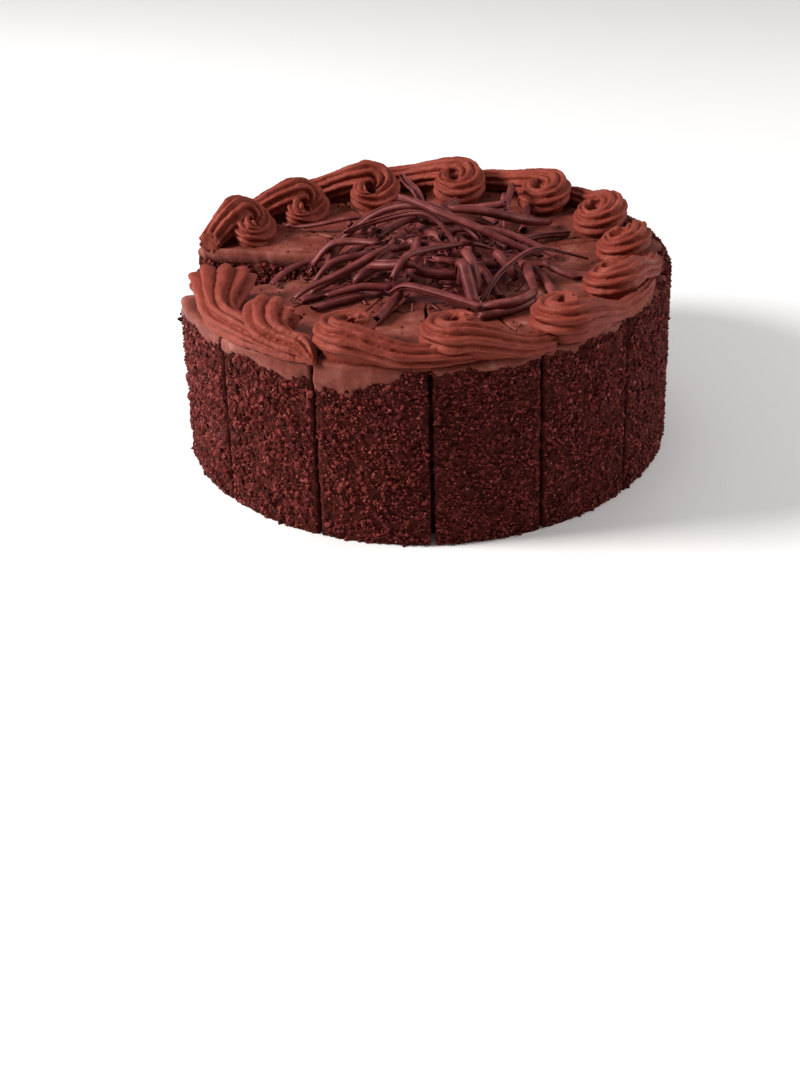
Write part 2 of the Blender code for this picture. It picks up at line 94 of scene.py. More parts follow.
# The first two swirls start as broad fans: angle and distance of the fan's middle, half its width, its
# height, and how slowly it turns to the rim
FANS = (
    (290.0, 0.1062, 0.0175, 0.0100, 1.00),
    (319.0, 0.1060, 0.0155, 0.0095, 1.60),
)
FAN_ROPE = 0.0085
FAN_TURNED = 0.45
FAN_STEPS = 110
FAN_PETALS = 0.0018
PETAL_STEPS = 14
PETAL_WIDTHS = (1.2, 1.7)
FAN_NARROWING = 1.5
COIL_TURN = (math.radians(30), math.radians(-270))
COIL_START = (0.0018, 0.0068)
COIL_END = (0.0100, 0.0085)
COIL_RISE = 0.0032
COIL_GROWTH = 1.8
TAIL_FALL = 0.8
TAIL_TIP = 0.0012
TIP_REACH = 0.1165
TIP_DRAW = 0.5

# The finer surface that this script gives them
COIL_STEPS = 72
TAIL_STEPS = 60
SWIRL_RIDGES = 9
RIDGE_POINTS = 12
RIDGE_DEPTH = 0.42
RIDGE_SHARPNESS = 0.65
ROPE_DRIFT = 0.04
REST_BELOW = -0.85
REST_DEPTH = 0.0004
SWIRL_CELL = 0.00042
SWIRL_TRIANGLES = 22000

# The icing's skin: its rows and columns of points on each slice, and the lumps under the crumbs
ICING_COLUMNS = 52
SIDE_ROWS = 80
SHOULDER_ROWS = 7
TOP_ROWS = 42
SKIN_INSET = 0.0016
LUMP_SIZE = 0.0027
LUMP_HEIGHT = 0.0013
COVER_FADE = 0.003
COVERED = 0.45
COAT_THICKNESS = 0.006
HUB_SIDES = 24
HUB_LAP = 0.0005

# The layers' outline: steps along an open face and round a slice, and the height of a row of points
FACE_STEPS = 150
ARC_STEPS = 8
LAYER_ROW = 0.0008

# How far the smooth band under the piping reaches down, in millimetres, at angles round the side;
# less than nothing is as far in from the rim
BAND = (
    (285, 7), (300, 6), (311, 6), (325, 7), (334, 8), (337, 14), (344, 12), (351, 6), (361, 3), (385, 3),
    (400, 1), (412, -2), (435, -5), (470, -6), (500, -3), (530, -1), (570, 0), (600, 3), (615, 6),
)

# The crumbs: how many of each kind, their radii, and how uneven each one is
COARSE_CRUMBS = 9400
FINE_CRUMBS = 16000
# The pale crumbs are partly a lighter tone of their own and partly painted glints: their lighter colour
# stands in for highlights on the crumbs.
PALE_GLINT_CRUMBS = 9000
RIM_CRUMBS = 9000
FACE_CRUMBS = 5200
TOP_CRUMBS = 500
COARSE_RADIUS = (0.0009, 0.0026)
FINE_RADIUS = (0.0006, 0.0011)
RIM_RADIUS = (0.0005, 0.0011)
FACE_RADIUS = (0.0006, 0.0015)
TOP_CRUMB_RADIUS = (0.0003, 0.0008)
CRUMB_LUMPS = (0.50, 1.40)
CRUMB_STRETCH = (0.6, 1.15)
CRUMB_SUNK = (0.4, 1.2)

# The coarse crumbs shrink over this span of degrees, ending here, to the least share of their range
COARSE_FADE = 60
COARSE_END = 380
COARSE_LEAST = 0.25

# The strip that crumbs spill over on the rim, where loose crumbs lie on the top, and how close to the cuts
RIM_STRIP = 0.009
TOP_REACH = (0.050, 0.118)
BESIDE_CUT = 0.003
LOOSE_SHARE = 0.45

# The crumb that closes each cut: its rows, how high and wide it is, and its outer and inner face
SLOT_ROWS = 70
SLOT_TOP = 0.985
SLOT_WIDTHS = (-1.0, -0.35, 0.35, 1.0)
SLOT_LAP = 1.35
SLOT_OUTER = 0.1185
SLOT_INNER = 0.1140
SLOT_ROUGH = 0.0012

# The heap of chocolate curls
CORE_EDGE = 0.054
CORE_NOTCH = 0.017
CORE_RIM = 0.0015
CORE_CROWN = 0.0075
CORE_ROUND = 0.8
CORE_NOTCH_SPREAD = 30
CURL_SINK = 0.0009
CURL_GIRTH = 1.22
SMOOTHINGS = 8
FIELD_CELL = 0.002
FIELD_HALF = 0.100
FILLERS = 16
FILLER_REACH = 0.046
FILLER_LENGTHS = (0.018, 0.036)
FILLER_RADII = (0.0018, 0.0028)
CURL_POINTS = 25
SHORT_CURL = 0.036
CURL_ROW = 0.0022
ROLL_TIGHTENING = 0.30
ROLL_THICKNESS = 0.26
ROLL_POINTS = 15
ROLL_TURNS = (0.75, 1.2)
ROLL_FLATNESS = (0.62, 0.90)
ROLL_ENDS = 0.62
SHORT_TURNS = (1.15, 1.5)
SHORT_FLATNESS = (0.88, 1.0)
SHORT_ENDS = 0.9
ROLL_TWIST = 0.9
ROLL_RAGGED = 0.35

# The splinters: how many, how far out, and half their length, width and thickness
SPLINTERS = 420
SPLINTER_REACH = 0.066
SPLINTER_LENGTHS = (0.0015, 0.0050)
SPLINTER_WIDTHS = (0.0005, 0.0014)
SPLINTER_THICKNESS = (0.0002, 0.0004)
SPLINTER_TILT = 0.35
GOLDEN_ANGLE = math.pi * (3 - math.sqrt(5))

# Each curl in millimetres: where it starts and ends, how far it bows, its radius, and how far its start is
# lifted
CURLS = (
    (18, -38, 27, -48, -2, 2.6, 0),
    (28, -30, 37, -58, 0, 2.4, 0),
    (36, -22, 46, -35, -1, 2.6, 0),
    (49, -20, 54, -56, 0, 2.8, 0),
    (57, -25, 64, -60, 0, 2.4, 0),
    (-60, -51, -39, -37, 0, 2.0, 0),
    (-56, -42, -7, -8, 1, 2.3, 0),
    (-64, -49, -17, -21, -3, 2.1, 0),
    (-38, 26, -40, 56, 1, 1.8, 0),
    (-73, 54, -15, 73, -15, 1.7, 0),
    (20, 68, -6, 46, 1, 2.7, 5),
    (46, 69, 39, 34, 1, 2.4, 8),
    (51, 69, 44, 31, 0, 2.0, 6),
    (59, 63, 54, 32, 0, 2.2, 4),
    (14, 48, 45, 38, -3, 2.3, 0),
    (-55, -29, -20, -7, 1, 1.9, 0),
    (-53, -61, -30, -48, 1, 1.9, 0),
    (-48, -48, -16, -45, 2, 2.1, 0),
    (-26, -35, -4, -46, -2, 2.4, 0),
    (-23, -79, -11, -51, 0, 2.4, 0),
    (21, -25, 27, -54, -2, 2.6, 0),
    (18, -48, 24, -66, 0, 2.9, 0),
    (26, -78, 53, -62, -3, 2.0, 0),
    (59, -19, 77, -38, -3, 1.9, 0),
    (-58, -11, -23, -18, 6, 2.9, 0),
    (2, 13, 41, 18, 1, 2.8, 0),
    (15, 20, 69, 41, -11, 2.7, 0),
    (-14, -51, 27, -79, 1, 2.9, 0),
    (26, -71, 53, -61, -7, 2.4, 0),
    (48, 8, 77, 23, 4, 2.0, 0),
    (-76, -28, -41, 8, 8, 2.3, 0),
    (9, 0, 69, -9, 12, 2.1, 0),
    (-11, 81, 3, 10, -1, 2.3, 17),
    (-40, 6, 17, -8, 12, 2.2, 0),
    (-15, -52, 34, -8, 3, 2.4, 0),
    (-51, 12, 29, -16, 14, 2.3, 0),
    (-12, 14, 59, -23, -8, 2.3, 0),
    (29, -60, 84, -12, 8, 1.8, 0),
)

# The photograph's view, with its 800 by 1067 pixels
FOCAL_PIXELS = 1400.0
LONG_SIDE_PIXELS = 1067.0
SHORT_SIDE_PIXELS = 800.0
SENSOR = 36.0
CAMERA_DISTANCE = 0.760
CAMERA_ELEVATION = math.radians(25.66)
CAMERA_AIM = (428.8, 341.3)
CAMERA_ROLL = math.radians(-1.35)


def outward(angle):
    return Vector((math.sin(angle), -math.cos(angle), 0.0))


def along(angle):
    return Vector((math.cos(angle), math.sin(angle), 0.0))


def around(angle, reach):
    """X and Y at these angles and distances from the axis."""
    return np.sin(angle) * reach, -np.cos(angle) * reach


def top_at(x, y):
    return HEIGHT + LEAN_X * x + LEAN_Y * y


def slot_half(radius):
    share = (radius - HUB_RADIUS) / (TOP_RADIUS - HUB_RADIUS)
    return SLOT_HALF_HUB + (SLOT_HALF_RIM - SLOT_HALF_HUB) * share


# Repeatable noise on arrays of points

def hashed(cells, seed):
    """A repeatable number from 0 to 1 for each whole-number place."""
    x, y, z = (cells[..., axis].astype(np.int64).astype(np.uint64) for axis in range(3))
    mixed = x * np.uint64(73856093) ^ y * np.uint64(19349663) ^ z * np.uint64(83492791)
    mixed ^= np.uint64(seed + 1) * np.uint64(2654435761)
    mixed = (mixed ^ (mixed >> np.uint64(13))) * np.uint64(1274126177)
    mixed ^= mixed >> np.uint64(29)
    return (mixed & np.uint64(0xFFFFFF)).astype(float) / 0xFFFFFF


def waves(points, size, seed=0):
    """Smooth noise from -1 to 1, with waves of about this size."""
    place = points / size
    base = np.floor(place)
    part = place - base
    part = part * part * (3 - 2 * part)
    total = np.zeros(points.shape[:-1])
    for corner in itertools.product((0, 1), repeat=3):
        weight = np.prod(np.where(np.array(corner) == 1, part, 1 - part), axis=-1)
        total += weight * hashed(base + np.array(corner), seed)
    return 2 * total - 1


def lumps(points, size, seed=0):
    """Rounded grains packed side by side: near 1 in the middle of each, and 0 between them."""
    place = points / size
    base = np.floor(place)
    nearest = np.full(points.shape[:-1], 9.0)
    for corner in itertools.product((-1, 0, 1), repeat=3):
        cell = base + np.array(corner)
        spot = cell + np.stack([hashed(cell, seed + k) for k in (11, 12, 13)], axis=-1)
        nearest = np.minimum(nearest, np.linalg.norm(place - spot, axis=-1))
    return np.clip(1 - nearest, 0, 1)


# Materials

WARM_GLOSS = (1.0, 0.45, 0.38)
CURL_GLOSS = (1.0, 0.60, 0.58)


def new_material(name, roughness, coat=0.0, specular=0.5, tint=(1.0, 1.0, 1.0)):
    made = bpy.data.materials.new(name)
    made.use_nodes = True
    shader = made.node_tree.nodes["Principled BSDF"]
    shader.inputs["Roughness"].default_value = roughness
    shader.inputs["Specular IOR Level"].default_value = specular
    shader.inputs["Specular Tint"].default_value = (*tint, 1.0)
    shader.inputs["Coat Weight"].default_value = coat
    shader.inputs["Coat Roughness"].default_value = 0.35
    return made, shader


def node(tree, kind, **values):
    """A shader node with the values of its named inputs set."""
    made = tree.nodes.new(kind)
    for name, value in values.items():
        made.inputs[name.replace("_", " ")].default_value = value
    return made


def ramp(tree, source, stops):
    """A colour ramp over a source, with (place, colour) stops."""
    made = tree.nodes.new("ShaderNodeValToRGB")
    elements = made.color_ramp.elements
    while len(elements) < len(stops):
        elements.new(0.5)
    for element, (place, colour) in zip(elements, stops):
        element.position = place
        element.color = (*colour, 1.0)
    tree.links.new(source, made.inputs["Fac"])
    return made.outputs["Color"]


def bumps(tree, shader, layers):
    """Chains bump layers, each (source, strength, distance), into the shader's normal."""
    last = None
    for source, strength, distance in layers:
        bump = node(tree, "ShaderNodeBump", Strength=strength, Distance=distance)
        tree.links.new(source, bump.inputs["Height"])
        if last is not None:
            tree.links.new(last, bump.inputs["Normal"])
        last = bump.outputs["Normal"]
    tree.links.new(last, shader.inputs["Normal"])


def textures(tree, *kinds):
    """Noise or cell textures on the object's own coordinates: each (kind, scale, detail)."""
    place = tree.nodes.new("ShaderNodeTexCoord").outputs["Object"]
    made = []
    for kind, scale, detail in kinds:
        if kind == "noise":
            texture = node(tree, "ShaderNodeTexNoise", Scale=scale, Detail=detail, Roughness=0.6)
        else:
            texture = node(tree, "ShaderNodeTexVoronoi", Scale=scale)
        tree.links.new(place, texture.inputs["Vector"])
        made.append(texture)
    return made


def mottled(name, roughness, specular, kinds, stops, tint=WARM_GLOSS):
    """A material coloured by the first of its textures, with its shader and all the textures."""
    made, shader = new_material(name, roughness, specular=specular, tint=tint)
    tree = made.node_tree
    all_textures = textures(tree, *kinds)
    colour = ramp(tree, all_textures[0].outputs["Fac"], stops)
    tree.links.new(colour, shader.inputs["Base Color"])
    return made, shader, all_textures


def pinholes(tree, pits, low, high):
    """Small round holes of this size in a cell texture, as a height."""
    return ramp(tree, pits.outputs["Distance"], ((low, (0.0, 0.0, 0.0)), (high, (1.0, 1.0, 1.0))))


def icing_material():
    kinds = (("noise", 75.0, 7.0), ("noise", 900.0, 5.0), ("cells", 420.0, 0.0))
    stops = (
        (0.30, (0.095, 0.018, 0.011)), (0.50, (0.150, 0.032, 0.022)), (0.62, (0.205, 0.058, 0.043)),
        (0.74, (0.330, 0.130, 0.100)),
    )
    made, shader, (broad, grain, pits) = mottled("satin icing", 0.50, 0.30, kinds, stops)
    holes = pinholes(made.node_tree, pits, 0.06, 0.16)
    bumps(made.node_tree, shader, (
        (broad.outputs["Fac"], 0.35, 0.0015), (grain.outputs["Fac"], 0.5, 0.0005), (holes, 0.3, 0.0004),
    ))
    return made


def piping_material():
    kinds = (("noise", 90.0, 3.0), ("noise", 1300.0, 5.0), ("cells", 700.0, 0.0))
    stops = ((0.30, (0.150, 0.023, 0.014)), (0.55, (0.200, 0.034, 0.021)), (0.78, (0.270, 0.060, 0.040)))
    made, shader, (_, grain, pits) = mottled("piped icing", 0.52, 0.30, kinds, stops)
    holes = pinholes(made.node_tree, pits, 0.05, 0.15)
    bumps(made.node_tree, shader, ((grain.outputs["Fac"], 0.65, 0.0004), (holes, 0.45, 0.0004)))
    return made


def sponge_material():
    kinds = (("noise", 250.0, 5.0), ("noise", 1500.0, 6.0), ("cells", 600.0, 0.0))
    stops = ((0.32, (0.018, 0.003, 0.002)), (0.55, (0.058, 0.009, 0.007)), (0.75, (0.120, 0.021, 0.017)))
    made, shader, (_, grain, cells) = mottled("dark sponge", 0.85, 0.15, kinds, stops)
    relief = ((cells.outputs["Distance"], 0.5, 0.0010), (grain.outputs["Fac"], 0.5, 0.0005))
    bumps(made.node_tree, shader, relief)
    return made


def filling_material():
    kinds = (("noise", 120.0, 3.0), ("noise", 900.0, 4.0))
    stops = ((0.35, (0.085, 0.020, 0.014)), (0.60, (0.125, 0.031, 0.022)), (0.80, (0.160, 0.045, 0.032)))
    made, shader, (_, grain) = mottled("cream filling", 0.55, 0.2, kinds, stops)
    bumps(made.node_tree, shader, ((grain.outputs["Fac"], 0.35, 0.0004),))
    return made


def curl_material():
    kinds = (("noise", 140.0, 3.0), ("noise", 1100.0, 4.0))
    stops = ((0.30, (0.070, 0.010, 0.010)), (0.52, (0.118, 0.020, 0.019)), (0.74, (0.190, 0.048, 0.043)))
    made, shader, (_, grain) = mottled("dark curls", 0.50, 0.35, kinds, stops, CURL_GLOSS)
    bumps(made.node_tree, shader, ((grain.outputs["Fac"], 0.25, 0.0003),))
    return made


def crumb_material(name, dark, middle, light, gloss):
    made, shader = new_material(name, gloss, specular=0.16, tint=WARM_GLOSS)
    tree = made.node_tree
    (grain,) = textures(tree, ("noise", 1400.0, 5.0))
    each = tree.nodes.new("ShaderNodeNewGeometry").outputs["Random Per Island"]
    colour = ramp(tree, each, ((0.05, dark), (0.50, middle), (0.95, light)))
    tree.links.new(colour, shader.inputs["Base Color"])
    bumps(tree, shader, ((grain.outputs["Fac"], 0.6, 0.0006),))
    return made


def floor_material():
    made, shader = new_material("pale floor", 0.6)
    shader.inputs["Base Color"].default_value = (0.86, 0.86, 0.86, 1.0)
    return made


# Meshes

def second_finish(piece, finish, faces):
    """Gives some of a piece's faces another material."""
    piece.data.materials.append(finish)
    piece.data.polygons.foreach_set("material_index", faces.astype(np.int32))
    piece.data.update()


def new_piece(name, points, faces, finish, slot, *nodes):
    """A smooth-shaded piece on the cake, from an array of points and arrays of equal-sided faces."""
    mesh = bpy.data.meshes.new(name)
    corners = np.concatenate([f.ravel() for f in faces]).astype(np.int32)
    sides = np.concatenate([np.full(len(f), f.shape[1]) for f in faces])
    starts = np.concatenate([[0], np.cumsum(sides)[:-1]]).astype(np.int32)
    mesh.vertices.add(len(points))
    mesh.vertices.foreach_set("co", points.astype(np.float32).ravel())
    mesh.loops.add(len(corners))
    mesh.loops.foreach_set("vertex_index", corners)
    mesh.polygons.add(len(starts))
    mesh.polygons.foreach_set("loop_start", starts)
    mesh.update(calc_edges=True)
    mesh.validate()
    mesh.shade_smooth()
    mesh.materials.append(finish)
    made = bpy.data.objects.new(name, mesh)
    bpy.context.scene.collection.objects.link(made)
    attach(made, "root")
    if nodes:
        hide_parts(*nodes)
    return made


def grid_faces(rows, columns, start=0, closed=False):
    """Quads over a grid of rows and columns of points, closed round the columns if wanted."""
    wide = columns if closed else columns - 1
    row, column = np.meshgrid(np.arange(rows - 1), np.arange(wide), indexing="ij")
    following = (column + 1) % columns
    here = start + row * columns
    above = here + columns
    quads = np.stack([here + column, here + following, above + following, above + column], -1)
    return quads.reshape(-1, 4)


def end_faces(count, last):
    """The two faces that close a tube, over its first ring and over the ring that starts at last."""
    return [np.arange(count)[None, ::-1], last + np.arange(count)[None]]


def directions(line):
    """The ways ahead, to the side and up at each place of a path."""
    heading = np.gradient(line, axis=0)
    heading /= np.linalg.norm(heading, axis=1)[:, None]
    side = np.cross(heading, np.array((0.0, 0.0, 1.0)))
    side /= np.linalg.norm(side, axis=1)[:, None]
    return heading, side, np.cross(side, heading)


def vertex_values(shape, kind):
    """The places (co) or normals (normal) of a shape's vertices."""
    values = np.zeros(len(shape.data.vertices) * 3)
    shape.data.vertices.foreach_get(kind, values)
    return values.reshape(-1, 3)


def move_vertices(shape, points):
    shape.data.vertices.foreach_set("co", points.astype(np.float32).ravel())
    shape.data.update()


def apply_modifiers(shape):
    bpy.context.view_layer.update()
    graph = bpy.context.evaluated_depsgraph_get()
    made = bpy.data.meshes.new_from_object(shape.evaluated_get(graph), depsgraph=graph)
    shape.modifiers.clear()
    shape.data = made


# The icing

def band_depth(angles):
    """How far the smooth band reaches down from the top edge at these angles in degrees."""
    places, depths = zip(*BAND)
    return np.interp(angles, places, depths) / 1000


def crumb_cover(points):
    """The share of the side that crumbs hide, from 0 on the smooth band to 1 below it."""
    angle = np.degrees(np.arctan2(points[..., 0], -points[..., 1])) % 360
    angle = np.where(angle < GAP_MIDDLE, angle + 360, angle)
    below = top_at(points[..., 0], points[..., 1]) - points[..., 2]
    below = np.where(below < SHOULDER / 2, np.hypot(points[..., 0], points[..., 1]) - TOP_RADIUS, below)
    edge = band_depth(angle) + 0.004 * waves(points, 0.009, 5) + 0.002 * waves(points, 0.003, 6)
    return np.clip((below - edge) / COVER_FADE, 0, 1)


def icing_profile():
    """Rings from the foot over the shoulder to the hub: radius, share of the height, drop, facing."""
    rings = []
    for row in range(SIDE_ROWS + 1):
        share = row / SIDE_ROWS
        radius = FOOT_RADIUS + (TOP_RADIUS - FOOT_RADIUS) * share
        rings.append((radius, share, -SHOULDER * share, 0.0))
    for row in range(1, SHOULDER_ROWS + 1):
        turn = math.pi / 2 * row / SHOULDER_ROWS
        radius = TOP_RADIUS - SHOULDER * (1 - math.cos(turn))
        rings.append((radius, 1.0, -SHOULDER * (1 - math.sin(turn)), turn))
    rim = TOP_RADIUS - SHOULDER
    for row in range(1, TOP_ROWS + 1):
        share = row / TOP_ROWS
        rings.append((rim + (HUB_RADIUS - rim) * share, 1.0, 0.0, math.pi / 2))
    return np.array(rings)


def slice_angles(radius, start, end, height):
    """The angles of one slice's two cut edges at each radius, with the slots' uneven width."""
    first = math.radians(start) + slot_half(radius) / radius
    last = math.radians(end) - slot_half(radius) / radius
    near = np.stack([radius, height, np.full_like(radius, start)], -1)
    other_noise = 7
    far = np.stack([radius, height, np.full_like(radius, end + other_noise)], -1)
    first = first + (0.0004 * waves(near, 0.004, 21) + 0.0003 * waves(near, 0.0015, 22)) / radius
    last = last + (0.0004 * waves(far, 0.004, 23) + 0.0003 * waves(far, 0.0015, 24)) / radius
    return first, last


def make_icing(finish, under_crumbs):
    """The coat and the top icing, slice by slice, each a closed shell over the sponge."""
    rings = icing_profile()
    radius, share, drop, facing = rings.T
    rows = len(rings)
    columns = ICING_COLUMNS
    points = []
    faces = []
    count = 0
    for start, end in zip(CUTS, CUTS[1:]):
        first, last = slice_angles(radius, start, end, share * HEIGHT + drop)
        across = np.linspace(0, 1, columns)
        angle = first[:, None] + (last - first)[:, None] * across
        x, y = around(angle, radius[:, None])
        z = share[:, None] * top_at(x, y) + drop[:, None]
        skin = np.stack([x, y, z], -1)
        way = np.stack([
            np.sin(angle) * np.cos(facing)[:, None],
            -np.cos(angle) * np.cos(facing)[:, None],
            np.broadcast_to(np.sin(facing)[:, None], angle.shape),
        ], -1)
        skin = skin + way * icing_relief(skin, facing[:, None])[..., None]
        skin[..., 2] = np.maximum(skin[..., 2], 0.0)
        inner_radius = np.minimum(radius, SPONGE_RADIUS)
        under = np.where(share < 1, share * UNDER_ICING, UNDER_ICING)
        inner = []
        for edge in (first, last):
            ix, iy = around(edge, inner_radius)
            inner.append(np.stack([ix, iy, under * top_at(ix, iy)], -1))
        inner = np.stack(inner, 1)
        base = count + rows * columns
        points += [skin.reshape(-1, 3), inner.reshape(-1, 3)]
        faces.append(grid_faces(rows, columns, count))
        row = np.arange(rows - 1)
        left = base + 2 * row
        faces.append(np.stack([left, left + 2, left + 3, left + 1], -1))
        outer = count + row * columns
        faces.append(np.stack([outer, outer + columns, left + 2, left], -1))
        outer = outer + columns - 1
        faces.append(np.stack([outer, left + 1, left + 3, outer + columns], -1))
        foot = np.concatenate([count + np.arange(columns)[::-1], [base, base + 1]])
        after = base + 2 * rows
        last_row = count + (rows - 1) * columns
        tip = np.concatenate([last_row + np.arange(columns), [after - 1, after - 2]])
        faces += [foot[None], tip[None]]
        count = after
    coat = new_piece("icing_coat", np.concatenate(points), faces, finish, "icing", "icing")
    middles = np.zeros(len(coat.data.polygons) * 3)
    coat.data.polygons.foreach_get("center", middles)
    middles = middles.reshape(-1, 3)
    outside = np.hypot(middles[:, 0], middles[:, 1]) > SPONGE_RADIUS - COAT_THICKNESS
    second_finish(coat, under_crumbs, outside & (crumb_cover(middles) > COVERED))
    return coat


def icing_relief(skin, facing):
    """How far the icing stands from the plain form: lumps on the side, knife marks elsewhere."""
    side = np.cos(facing)
    cover = crumb_cover(skin)
    rough = cover * (LUMP_HEIGHT * lumps(skin, LUMP_SIZE, 1) - SKIN_INSET)
    band = 0.0006 * waves(skin * np.array((1, 1, 3.0)), 0.012, 2) + 0.0002 * waves(skin, 0.003, 3)
    spilt = cover * (0.0008 * lumps(skin, LUMP_SIZE, 8) - 0.0003)
    level = 0.0005 * waves(skin, 0.020, 4) + 0.00025 * waves(skin * np.array((1.0, 0.35, 1.0)), 0.004, 7)
    return side * (rough + (1 - cover) * band) + (1 - side) * (level + spilt)


def make_hub(finish):
    """The middle, where the slices' tips meet under the heap."""
    angle = np.arange(HUB_SIDES) * math.tau / HUB_SIDES
    ring = np.stack([np.sin(angle), -np.cos(angle)], -1) * (HUB_RADIUS + HUB_LAP)
    top = np.column_stack([ring, top_at(ring[:, 0], ring[:, 1])])
    foot = np.column_stack([ring, np.zeros(HUB_SIDES)])
    faces = [grid_faces(2, HUB_SIDES, 0, True)] + end_faces(HUB_SIDES, HUB_SIDES)
    return new_piece("icing_hub", np.concatenate([foot, top]), faces, finish, "icing")


# The sponge and the fillings

def layer_outline():
    """The sponge seen from above, with fine steps along the two faces where the slice is missing."""
    places = []
    fine = []
    for index, (start, end) in enumerate(zip(CUTS, CUTS[1:])):
        first = math.radians(start) + slot_half(SPONGE_RADIUS) / SPONGE_RADIUS
        last = math.radians(end) - slot_half(SPONGE_RADIUS) / SPONGE_RADIUS
        opens = index == 0
        closes = index == len(CUTS) - 2
        for step in range(FACE_STEPS if opens else 1):
            reach = HUB_RADIUS + (SPONGE_RADIUS - HUB_RADIUS) * step / FACE_STEPS
            place = outward(math.radians(start)) * reach + along(math.radians(start)) * slot_half(reach)
            places.append((place.x, place.y))
            fine.append(-1.0 if opens else 0.0)
        for step in range(ARC_STEPS + 1):
            place = outward(first + (last - first) * step / ARC_STEPS) * SPONGE_RADIUS
            places.append((place.x, place.y))
            fine.append(0.0)
        for step in range(FACE_STEPS if closes else 1):
            share = 1 - (step + 1) / FACE_STEPS if closes else 0.0
            reach = HUB_RADIUS + (SPONGE_RADIUS - HUB_RADIUS) * share
            place = outward(math.radians(end)) * reach - along(math.radians(end)) * slot_half(reach)
            places.append((place.x, place.y))
            fine.append(1.0 if closes else 0.0)
    return np.array(places), np.array(fine)


def make_layer(node_name, low, high, finish, slot):
    """One layer right through the cake, with open crumb on the faces of the missing slice."""
    outline, fine = layer_outline()
    rows = int(round((high - low) * HEIGHT / LAYER_ROW))
    ways = np.zeros((len(outline), 3))
    for side, cut in ((-1.0, CUTS[0]), (1.0, CUTS[-1])):
        ways[fine == side] = np.array(along(math.radians(cut))) * side
    rings = []
    for row in range(rows + 1):
        share = low + (high - low) * row / rows
        height = share * top_at(outline[:, 0], outline[:, 1])
        ring = np.column_stack([outline, height])
        if slot == "sponge":
            depth = 0.0016 * lumps(ring, 0.0030, 31) + 0.0009 * lumps(ring, 0.0013, 32)
            depth += 0.0012 * waves(ring, 0.008, 33) - 0.0013
        else:
            depth = 0.0004 * waves(ring, 0.006, 34) + 0.0002 * waves(ring, 0.002, 35)
        rings.append(ring + ways * (depth * np.abs(fine))[:, None])
    points = np.concatenate(rings)
    count = len(outline)
    faces = [grid_faces(rows + 1, count, 0, True)] + end_faces(count, rows * count)
    return new_piece(node_name + "_layer", points, faces, finish, slot, node_name)


# Crumbs

def ball(fine):
    """The points and faces of a rough ball, or of a smaller bit with eight faces."""
    if fine:
        points = np.array([(1, 0, 0), (0, 1, 0), (-1, 0, 0), (0, -1, 0), (0, 0, 1), (0, 0, -1)], float)
        over = [(i, (i + 1) % 4, 4) for i in range(4)]
        under = [((i + 1) % 4, i, 5) for i in range(4)]
        return points, np.array(over + under)
    work = bmesh.new()
    bmesh.ops.create_icosphere(work, subdivisions=1, radius=1.0)
    points = np.array([tuple(v.co) for v in work.verts])
    faces = np.array([[v.index for v in face.verts] for face in work.faces])
    work.free()
    return points, faces


def turned(chance, count):
    """Random rotation matrices, one for each of the count."""
    q = chance.normal(size=(count, 4))
    q /= np.linalg.norm(q, axis=1)[:, None]
    w, x, y, z = q.T
    return np.stack([
        np.stack([1 - 2 * (y * y + z * z), 2 * (x * y - z * w), 2 * (x * z + y * w)], -1),
        np.stack([2 * (x * y + z * w), 1 - 2 * (x * x + z * z), 2 * (y * z - x * w)], -1),
        np.stack([2 * (x * z - y * w), 2 * (y * z + x * w), 1 - 2 * (x * x + y * y)], -1),
    ], 1)


def make_crumbs(name, places, radii, finish, slot, seed, fine=False):
    """Uneven crumbs, one at each place."""
    chance = np.random.default_rng(seed)
    points, faces = ball(fine)
    count = len(places)
    shape = points[None] * chance.uniform(*CRUMB_LUMPS, (count, len(points), 1))
    shape = shape * chance.uniform(*CRUMB_STRETCH, (count, 1, 3))
    shape = np.einsum("nij,nkj->nki", turned(chance, count), shape)
    shape = shape * radii[:, None, None] + places[:, None, :]
    shape[..., 2] = np.maximum(shape[..., 2], 0.0)
    all_faces = faces[None] + (np.arange(count) * len(points))[:, None, None]
    crumbs = new_piece(name, shape.reshape(-1, 3), [all_faces.reshape(-1, 3)], finish, slot)
    crumbs.data.shade_flat()
    return crumbs


def side_places(chance, count, radii):
    """Places on the side for crumbs of these radii, fewer on the smooth band and none in the slots."""
    kept = np.zeros((0, 3))
    kept_radii = np.zeros(0)
    while len(kept) < count:
        angle = np.radians(chance.uniform(CUTS[0], CUTS[-1], count))
        share = chance.uniform(0.004, 1.0, count)
        size = radii(chance, np.degrees(angle))
        sunk = chance.uniform(*CRUMB_SUNK, count) * size
        reach = FOOT_RADIUS + (TOP_RADIUS - FOOT_RADIUS) * share - sunk
        x, y = around(angle, reach)
        place = np.stack([x, y, share * (top_at(x, y) - SHOULDER * 0.7)], -1)
        place[:, :2] *= 1 + 0.005 * waves(place, 0.0065, 10)[:, None]
        away = np.abs(np.degrees(angle)[:, None] - np.array(CUTS)[None]).min(1)
        ragged = 0.0003 + 0.0008 * waves(place * np.array((0.3, 0.3, 1.0)), 0.005, 16)
        clear = np.radians(away) * reach > slot_half(TOP_RADIUS) + np.maximum(ragged, 0.0) + 0.3 * size
        wanted = crumb_cover(place) > chance.uniform(0.05, 0.95, count)
        wanted &= waves(place, 0.0045, 9) > chance.uniform(-1.1, 0.15, count)
        kept = np.concatenate([kept, place[clear & wanted]])
        kept_radii = np.concatenate([kept_radii, size[clear & wanted]])
    return kept[:count], kept_radii[:count]


